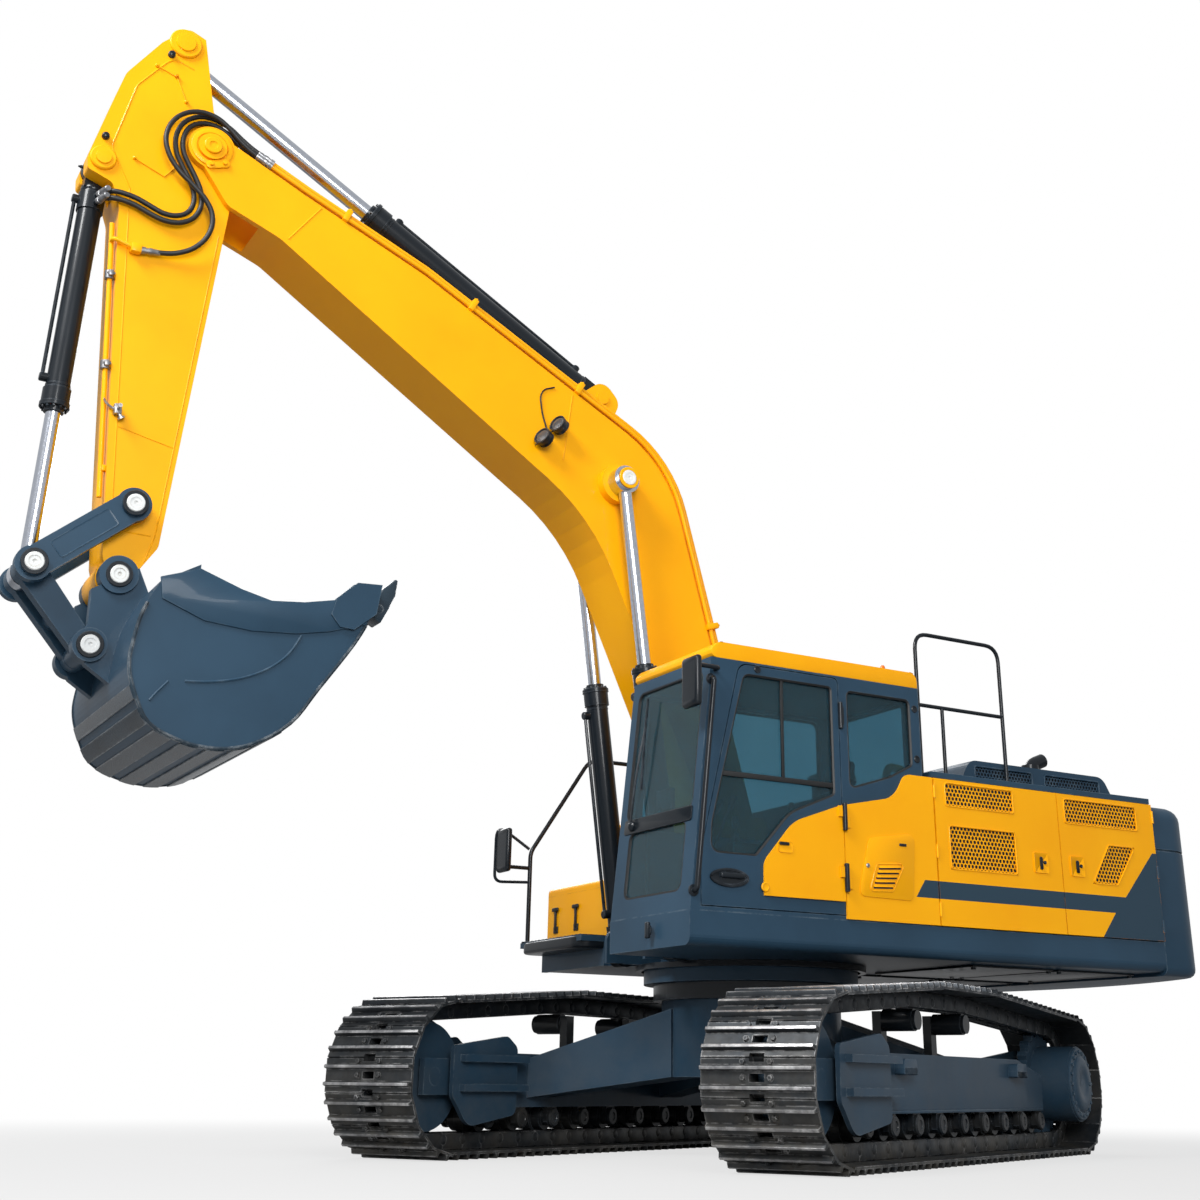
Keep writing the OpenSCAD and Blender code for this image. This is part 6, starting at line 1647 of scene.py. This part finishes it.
# %% [markdown]
# ## Operator's seat
# The seat is foam in sewn fabric on a sprung base. Each cushion starts as a block a little smaller
# than its place, is remeshed into even faces, and is blown up by a short cloth simulation so that its
# sides pull in between the corners. Sewn channels are pressed in afterwards.

# %% Cushions
SEAT = shift(0.18, 0.98, 1.88)
SWELL, PRESSURE, STEPS = 0.014, 4, 20
CHANNEL_DEPTH, CHANNEL_WIDTH = 0.012, 0.011


def cushion(outline, width, channels, along):
    pad = plate(rounded(outline), width, beside(SEAT, -width / 2))
    apply_modifier(soften(pad, 0.02, 3), "REMESH", mode="VOXEL", voxel_size=0.011)
    start = [v.co.copy() for v in pad.data.vertices]
    cloth = pad.modifiers.new("swell", "CLOTH")
    cloth.settings.use_pressure = True
    cloth.settings.uniform_pressure_force = PRESSURE
    cloth.settings.effector_weights.gravity = 0
    for step in range(1, STEPS + 1):
        bpy.context.scene.frame_set(step)
    activate(pad)
    bpy.ops.object.modifier_apply(modifier="swell")
    bpy.context.scene.frame_set(1)
    for v, old in zip(pad.data.vertices, start):
        move = v.co - old
        if move.length > SWELL:
            v.co = old + move.normalized() * SWELL
    across = Vector(along).cross((0, 1, 0)).normalized()
    top = max(v.co.dot(across) for v in pad.data.vertices)
    for v in pad.data.vertices:
        if top - v.co.dot(across) < 0.06:
            s = (SEAT.inverted() @ v.co).dot(Vector(along))
            press = sum(math.exp(-((s - c) / CHANNEL_WIDTH) ** 2) for c in channels)
            v.co -= across * CHANNEL_DEPTH * min(press, 1)
    return pad


base_pad = cushion([(-0.25, -0.11, 0.03), (0.28, -0.11, 0.05), (0.28, 0.0, 0.05), (-0.25, -0.02, 0.03)], 0.47,
                   (-0.08, 0.06, 0.19), (1, 0, 0))
back_pad = cushion([(-0.25, 0.02, 0.03), (-0.15, 0.02, 0.03), (-0.235, 0.5, 0.04), (-0.335, 0.5, 0.04)], 0.47,
                   (-0.18, -0.31, -0.44), Vector((0.15, 0, -0.75)).normalized())
head_pad = cushion([(-0.345, 0.545, 0.03), (-0.255, 0.545, 0.03), (-0.275, 0.69, 0.03), (-0.355, 0.69, 0.03)],
                   0.27, (), Vector((-0.15, 0, 0.75)).normalized())
for pad, name in ((base_pad, "seat_cushion"), (back_pad, "seat_backrest"), (head_pad, "seat_headrest")):
    dress(pad, name, "house", "seat_fabric", 60, ["operator_seat"])
    print(name, added[name], "triangles")

# %% Seat base and frame
fold = lathe([(0, 0.24), (0.02, 0.25), (0.04, 0.24), (0.055, 0.225), (0.07, 0.24), (0.09, 0.25), (0.11, 0.24),
              (0.125, 0.225), (0.14, 0.24), (0.16, 0.25), (0.18, 0.24), (0.2, 0.22)], 4)
bellows = settle(fold, shift(0.18, 0.98, 1.545) @ spun(45, "Z"))
plinth = soften(block((-0.01, 0.8, 1.508), (0.37, 1.16, 1.546)), 0.008)
pan = soften(block((-0.03, 0.78, 1.742), (0.42, 1.18, 1.764)), 0.008)
posts = [tube([(-0.12, y, 2.36), (-0.14, y, 2.46)], 0.008, 8) for y in (0.93, 1.03)]
back_shell = plate(rounded([(-0.27, 0.04, 0.01), (-0.252, 0.04, 0.01), (-0.345, 0.52, 0.01),
                            (-0.363, 0.52, 0.01)]), 0.44,
                   beside(SEAT, -0.22))
base = joined([soften(bellows, 0.006), plinth, pan, soften(back_shell, 0.008)] + posts)
dress(base, "seat_base", "house", "console_plastic", 40, ["operator_seat"])
print("seat base", added["seat_base"], "triangles")

# %% [markdown]
# ## Consoles and levers
# A console stands on each side of the seat with an armrest and a joystick, and two travel levers with
# pedals rise from the floor. They are mouldings on steel rods, so they are softened blocks and tubes.

# %% Consoles
def console(y):
    box = block((0.03, y - 0.06, 1.508), (0.6, y + 0.06, 1.93))
    extrude(box, lambda c, n: n.z > 0.9, (0, 0, 0.078), 0.94)
    soften(box, 0.018, 3)
    rest = soften(block((0.05, y - 0.05, 1.985), (0.38, y + 0.05, 2.012)), 0.012, 3)
    boot = settle(lathe([(0, 0.042), (0.02, 0.034), (0.03, 0.037), (0.05, 0.026), (0.06, 0.028),
                         (0.08, 0.014)], 20),
                  shift(0.54, y, 1.996))
    grip = settle(lathe([(0, 0.01), (0.03, 0.011), (0.04, 0.02), (0.075, 0.026), (0.105, 0.024),
                         (0.12, 0.012)], 20),
                  shift(0.54, y, 2.07))
    return [box, rest, boot, grip]


controls = console(0.64) + console(1.32)
for y in (0.9, 1.06):
    controls.append(tube(bent([(0.98, y, 1.51), (0.98, y, 1.9), (0.86, y, 2.16)], 0.06), 0.011, 10))
    knob = lathe([(0, 0.014), (0.02, 0.02), (0.09, 0.02), (0.1, 0.012)], 18)
    controls.append(settle(knob, axis_at((0.86, y, 2.15), (-0.42, 0, 0.9))))
    pedal = plate(rounded(oblong(0.96, y - 0.05, 1.16, y + 0.05, 0.01)),
                  0.014, shift(0, 0, 1.56))
    controls.append(soften(pedal, 0.004))
stalk = tube(bent([(1.2, 0.57, 1.51), (1.2, 0.57, 2.1), (1.12, 0.6, 2.2)], 0.08), 0.016, 10)
screen = soften(block((1.08, 0.54, 2.16), (1.12, 0.74, 2.32)), 0.012, 3)
inset(screen, lambda c, n: n.x < -0.95, 0.012, -0.005)
controls += [stalk, screen]
dress(joined(controls), "cab_controls", "house", "console_plastic", 40, ["control_consoles"])
print("consoles", added["cab_controls"], "triangles")

# %% [markdown]
# ## Undercarriage fittings
# The track frame carries hook brackets, a drive cover held by a ring of bolts, and capped rollers;
# the slewing ring is bolted down all round. Each is made once and copied along the frame and round
# its ring.

# %% Hooks, drive covers and roller caps
def hook_bracket(x):
    outline = rounded([(x - 0.11, 0.52, 0.01), (x + 0.11, 0.52, 0.01), (x + 0.09, 0.61, 0.02),
                       (x - 0.09, 0.61, 0.02)])
    bracket = plate(outline, 0.07, beside(world_frame, FRAME_OUT))
    inset(bracket, lambda c, n: n.z < -0.9, 0.014)
    extrude(bracket, lambda c, n: n.z < -0.9 and abs(c.x - x) < 0.06, (0, 0, 0.04))
    return soften(bracket, 0.006, 2, 40)


def drive_cover():
    disc = lathe([(0, 0.255), (0.012, 0.255), (0.02, 0.247), (0.02, 0.2), (0.034, 0.19), (0.042, 0.17),
                  (0.042, 0.09), (0.036, 0.08), (0.036, 0.03)], 48)
    bolt = hex_bolt(0.014, 0.012)
    ring = round_row(bolt, 20, shift(0, 0, 0.019), 0.223)
    plug = copy_of(bolt, shift(0.13, 0, 0.041))
    drop(bolt)
    return settle(joined([disc, plug] + ring), axis_at((-2.05, 1.69, 0.486), (0, 1, 0)))


def roller_cap(x, y, way):
    cap = lathe([(0, 0.062), (0.02, 0.062), (0.028, 0.052), (0.028, 0.03), (0.022, 0.026), (0.022, 0.01)], 24)
    return settle(cap, axis_at((x, y, 0.233), (0, way, 0)))


def dress_pair(name, left, slot):
    for side, piece in (("right", mirrored(left)), ("left", left)):
        dress(settle(piece, under_frame), name + side, "undercarriage", slot)


ROLLERS, ROLLER_BACK, ROLLER_FRONT = 9, -1.537, 1.476
FRAME_OUT, FRAME_IN = 1.533, 1.207
caps = []
for n in range(ROLLERS):
    x = ROLLER_BACK + n * (ROLLER_FRONT - ROLLER_BACK) / (ROLLERS - 1)
    caps += [roller_cap(x, FRAME_OUT, 1), roller_cap(x, FRAME_IN, -1)]
strip = block((-1.6, FRAME_OUT, 0.3), (1.25, FRAME_OUT + 0.019, 0.318))
fittings = joined([hook_bracket(0.93), hook_bracket(-1.07), soften(strip, 0.004)])
dress_pair("track_frame_fittings_", fittings, "slate_paint")
dress_pair("roller_caps_", joined(caps), "black_paint")
dress_pair("drive_cover_", drive_cover(), "slate_paint")
print("track frames", added["track_frame_fittings_left"], "drive cover", added["drive_cover_left"],
      "triangles")

# %% Slewing ring bolts and belly panels
ring_bolt = hex_bolt(0.018, 0.016)
race_bolts = round_row(ring_bolt, 40, shift(0, 0, 1.232) @ spun(180, "X"), 0.81)
rim = lathe([(1.2, 0.79), (1.2, 0.83), (1.238, 0.83), (1.238, 0.79)], 72, True)
dress(joined(race_bolts + [rim]), "slew_ring_bolts", "house", "black_paint")
panels = []
for x0, x1 in ((-2.6, -1.85), (-1.8, -1.05)):
    for y0, y1 in ((-1.2, -0.1), (0.1, 1.2)):
        panel = block((x0, y0, 1.226), (x1, y1, 1.242))
        inset(panel, lambda c, n: n.z < -0.9, 0.05, -0.006)
        panels.append(soften(panel, 0.004))
        for x, y in oblong(x0 + 0.025, y0 + 0.025, x1 - 0.025, y1 - 0.025):
            panels.append(copy_of(ring_bolt, shift(x, y, 1.226) @ spun(180, "X")))
drop(ring_bolt)
dress(joined(panels), "belly_panels", "house", "black_paint")
print("belly", added["belly_panels"], "slewing ring", added["slew_ring_bolts"], "triangles")

# %% [markdown]
# ## Handrails
# The rails that guard the deck are one steel tube each, bent cold and welded to small flanges. They
# follow the lines of the solids, with smooth bends in place of mitred corners.

# %% Rear and right handrails
flange = lathe([(0, 0.045), (0.01, 0.045), (0.014, 0.036), (0.014, 0.02)], 24)
rear_y, back_x, mid_x, front_x, deck_z, mid_z, top_z = 1.26, -1.437, -0.86, -0.64, 2.475, 3.0, 3.53
hoop = [(back_x, deck_z), (back_x, top_z), (front_x, top_z), (front_x, deck_z)]
rear = [tube(bent([(x, rear_y, z) for x, z in hoop], 0.12), 0.015, 14)]
for run in (((back_x, mid_z), (front_x, mid_z)), ((mid_x, deck_z), (mid_x, mid_z))):
    rear.append(tube([(x, rear_y, z) for x, z in run], 0.014, 12))
rear += [copy_of(flange, shift(x, rear_y, deck_z + 0.003)) for x in (back_x, mid_x, front_x)]
dress(joined(rear), "rear_rail_tube", "house", "black_paint", 40, ["rear_handrail"])
right_y = -1.44
line = [(1.09, 1.446), (1.09, 2.126), (0.58, 2.9), (-0.3, 2.9), (-0.3, 2.395)]
right = [tube(bent([(x, right_y, z) for x, z in line], 0.16), 0.017, 14)]
right += copies(flange, [shift(1.09, right_y, 1.446), shift(-0.3, right_y, 2.4)])
dress(joined(right), "right_rail_tube", "house", "black_paint", 40, ["right_handrail"])
print("handrails", added["rear_rail_tube"] + added["right_rail_tube"], "triangles")

# %% [markdown]
# ## Tool box, tank and counterweight
# Rubber T latches hold the tool box and the tank has a filler cap: bought parts, made from softened
# blocks and a turned form. The counterweight is one heavy casting with a groove round it, so it is
# two blocks with rolled edges on a smaller core. Lifting eyes and lamps are plates on its top and
# tail.

# %% Latches and filler
def t_latch(y):
    base = soften(block((0.898, y - 0.035, 1.52), (0.91, y + 0.035, 1.57)), 0.005)
    strap = soften(block((0.904, y - 0.012, 1.54), (0.918, y + 0.012, 1.7)), 0.005)
    grip = soften(block((0.904, y - 0.045, 1.68), (0.924, y + 0.045, 1.71)), 0.009, 3)
    return [base, strap, grip]


dress(joined(t_latch(-1.33) + t_latch(-1.0)), "tool_box_latches", "house", "hose_rubber")
filler = lathe([(0, 0.085), (0.02, 0.085), (0.022, 0.07), (0.05, 0.07), (0.056, 0.064), (0.056, 0.03)], 32)
wing = soften(block((-0.05, -0.008, 0.05), (0.05, 0.008, 0.074)), 0.006)
dress(settle(joined([filler, wing]), shift(0.1, -1.0, 2.398)), "fuel_cap", "house", "black_paint")
print("latches", added["tool_box_latches"], "filler", added["fuel_cap"], "triangles")

# %% Counterweight lamps and lifting eyes
def lifting_eye(y):
    eye = plate(rounded([(-0.09, 0), (0.09, 0), (0.09, 0.06, 0.05), (-0.09, 0.06, 0.05)]), 0.03, world_frame)
    inset(eye, lambda c, n: abs(n.z) > 0.9, 0.024, -0.004)
    soften(eye, 0.004)
    return settle(eye, shift(-2.85, y + 0.015, 2.438) @ spun(90, "X"))


TAIL_R, TAIL_HALF, TAIL_FRONT = 3.35, 1.478, -2.65


def weight_block(low, high, inset_by=0.0):
    tail, wide = TAIL_R - inset_by, TAIL_HALF - inset_by
    turn = math.asin(wide / tail)
    arc = [turn * (1 - k / 8) for k in range(17)]
    outline = [(TAIL_FRONT, -wide), (TAIL_FRONT, wide)] + [(-tail * math.cos(a), tail * math.sin(a))
                                                           for a in arc]
    cast = plate(outline, high - low, shift(0, 0, low))

    def corner(a, b):
        return abs(a.z - b.z) > 0.02 and a.x < TAIL_FRONT - 0.05 and abs(a.y) > wide - 0.001
    return bevel_edges(cast, corner, 0.15, 6)


def rear_edge(a, b):
    return min(a.x, b.x) < TAIL_FRONT - 0.01


upper = bevel_edges(weight_block(2.115, 2.44), lambda a, b: rear_edge(a, b) and min(a.z, b.z) > 2.43, 0.1, 5)
lower = bevel_edges(weight_block(1.215, 2.101), lambda a, b: rear_edge(a, b) and max(a.z, b.z) < 1.22, 0.06,
                    4)
cast = joined([upper, lower, weight_block(2.09, 2.13, 0.014)])
dress(cast, "counterweight_casting", "house", "slate_paint", 40, ["counterweight"])
dress(joined([lifting_eye(-0.8), lifting_eye(0.8)]), "counterweight_eyes", "house", "slate_paint")
tail_face = frame_at((-3.345, 0, 1.55), (0, -1, 0), (0, 0, 1))
sides = [spun(a, "Z") for a in (-17.4, 17.4)]
for name, w, h, r, thick, look in (("rear_lamp_shells", 0.11, 0.05, 0.03, 0.012, None),
                                   ("rear_lamp_lenses", 0.09, 0.035, 0.02, 0.018, red_lens)):
    lamp = soften(plate(rounded(oblong(-w, -h, w, h, r)), thick, tail_face), 0.004)
    dress(joined(copies(lamp, sides)), name, "house", "black_paint", look=look)
print("rear fittings", added["counterweight_eyes"] + added["rear_lamp_shells"], "triangles")

# %% [markdown]
# ## Step and fender
# Beside the tool box a grip tread and a curved black fender make the step up. The tread is one plate
# with raised teeth, copied in rows, and the fender is a tray with rolled edges under it.

# %% Step tread
tread = plate(rounded(oblong(0.905, -1.42, 1.125, -0.5, 0.02)), 0.008,
              shift(0, 0, 1.444))
fender = plate(rounded([(0.9, -1.486, 0.02), (1.146, -1.486, 0.13), (1.146, -0.492, 0.13),
                        (0.9, -0.492, 0.02)], 6), 0.083,
               shift(0, 0, 1.36))
dress(soften(fender, 0.026, 4), "step_fender", "house", "black_paint")
stud = lathe([(0, 0.014), (0.006, 0.012), (0.009, 0.008), (0.006, 0.005)], 10)
teeth = copies(stud, [shift(0.95 + 0.044 * i, -1.37 + 0.06 * j, 1.451) for i in range(4) for j in range(14)])
dress(joined([soften(tread, 0.003)] + teeth), "step_tread", "house", "black_paint")
print("step", added["step_tread"], "triangles")
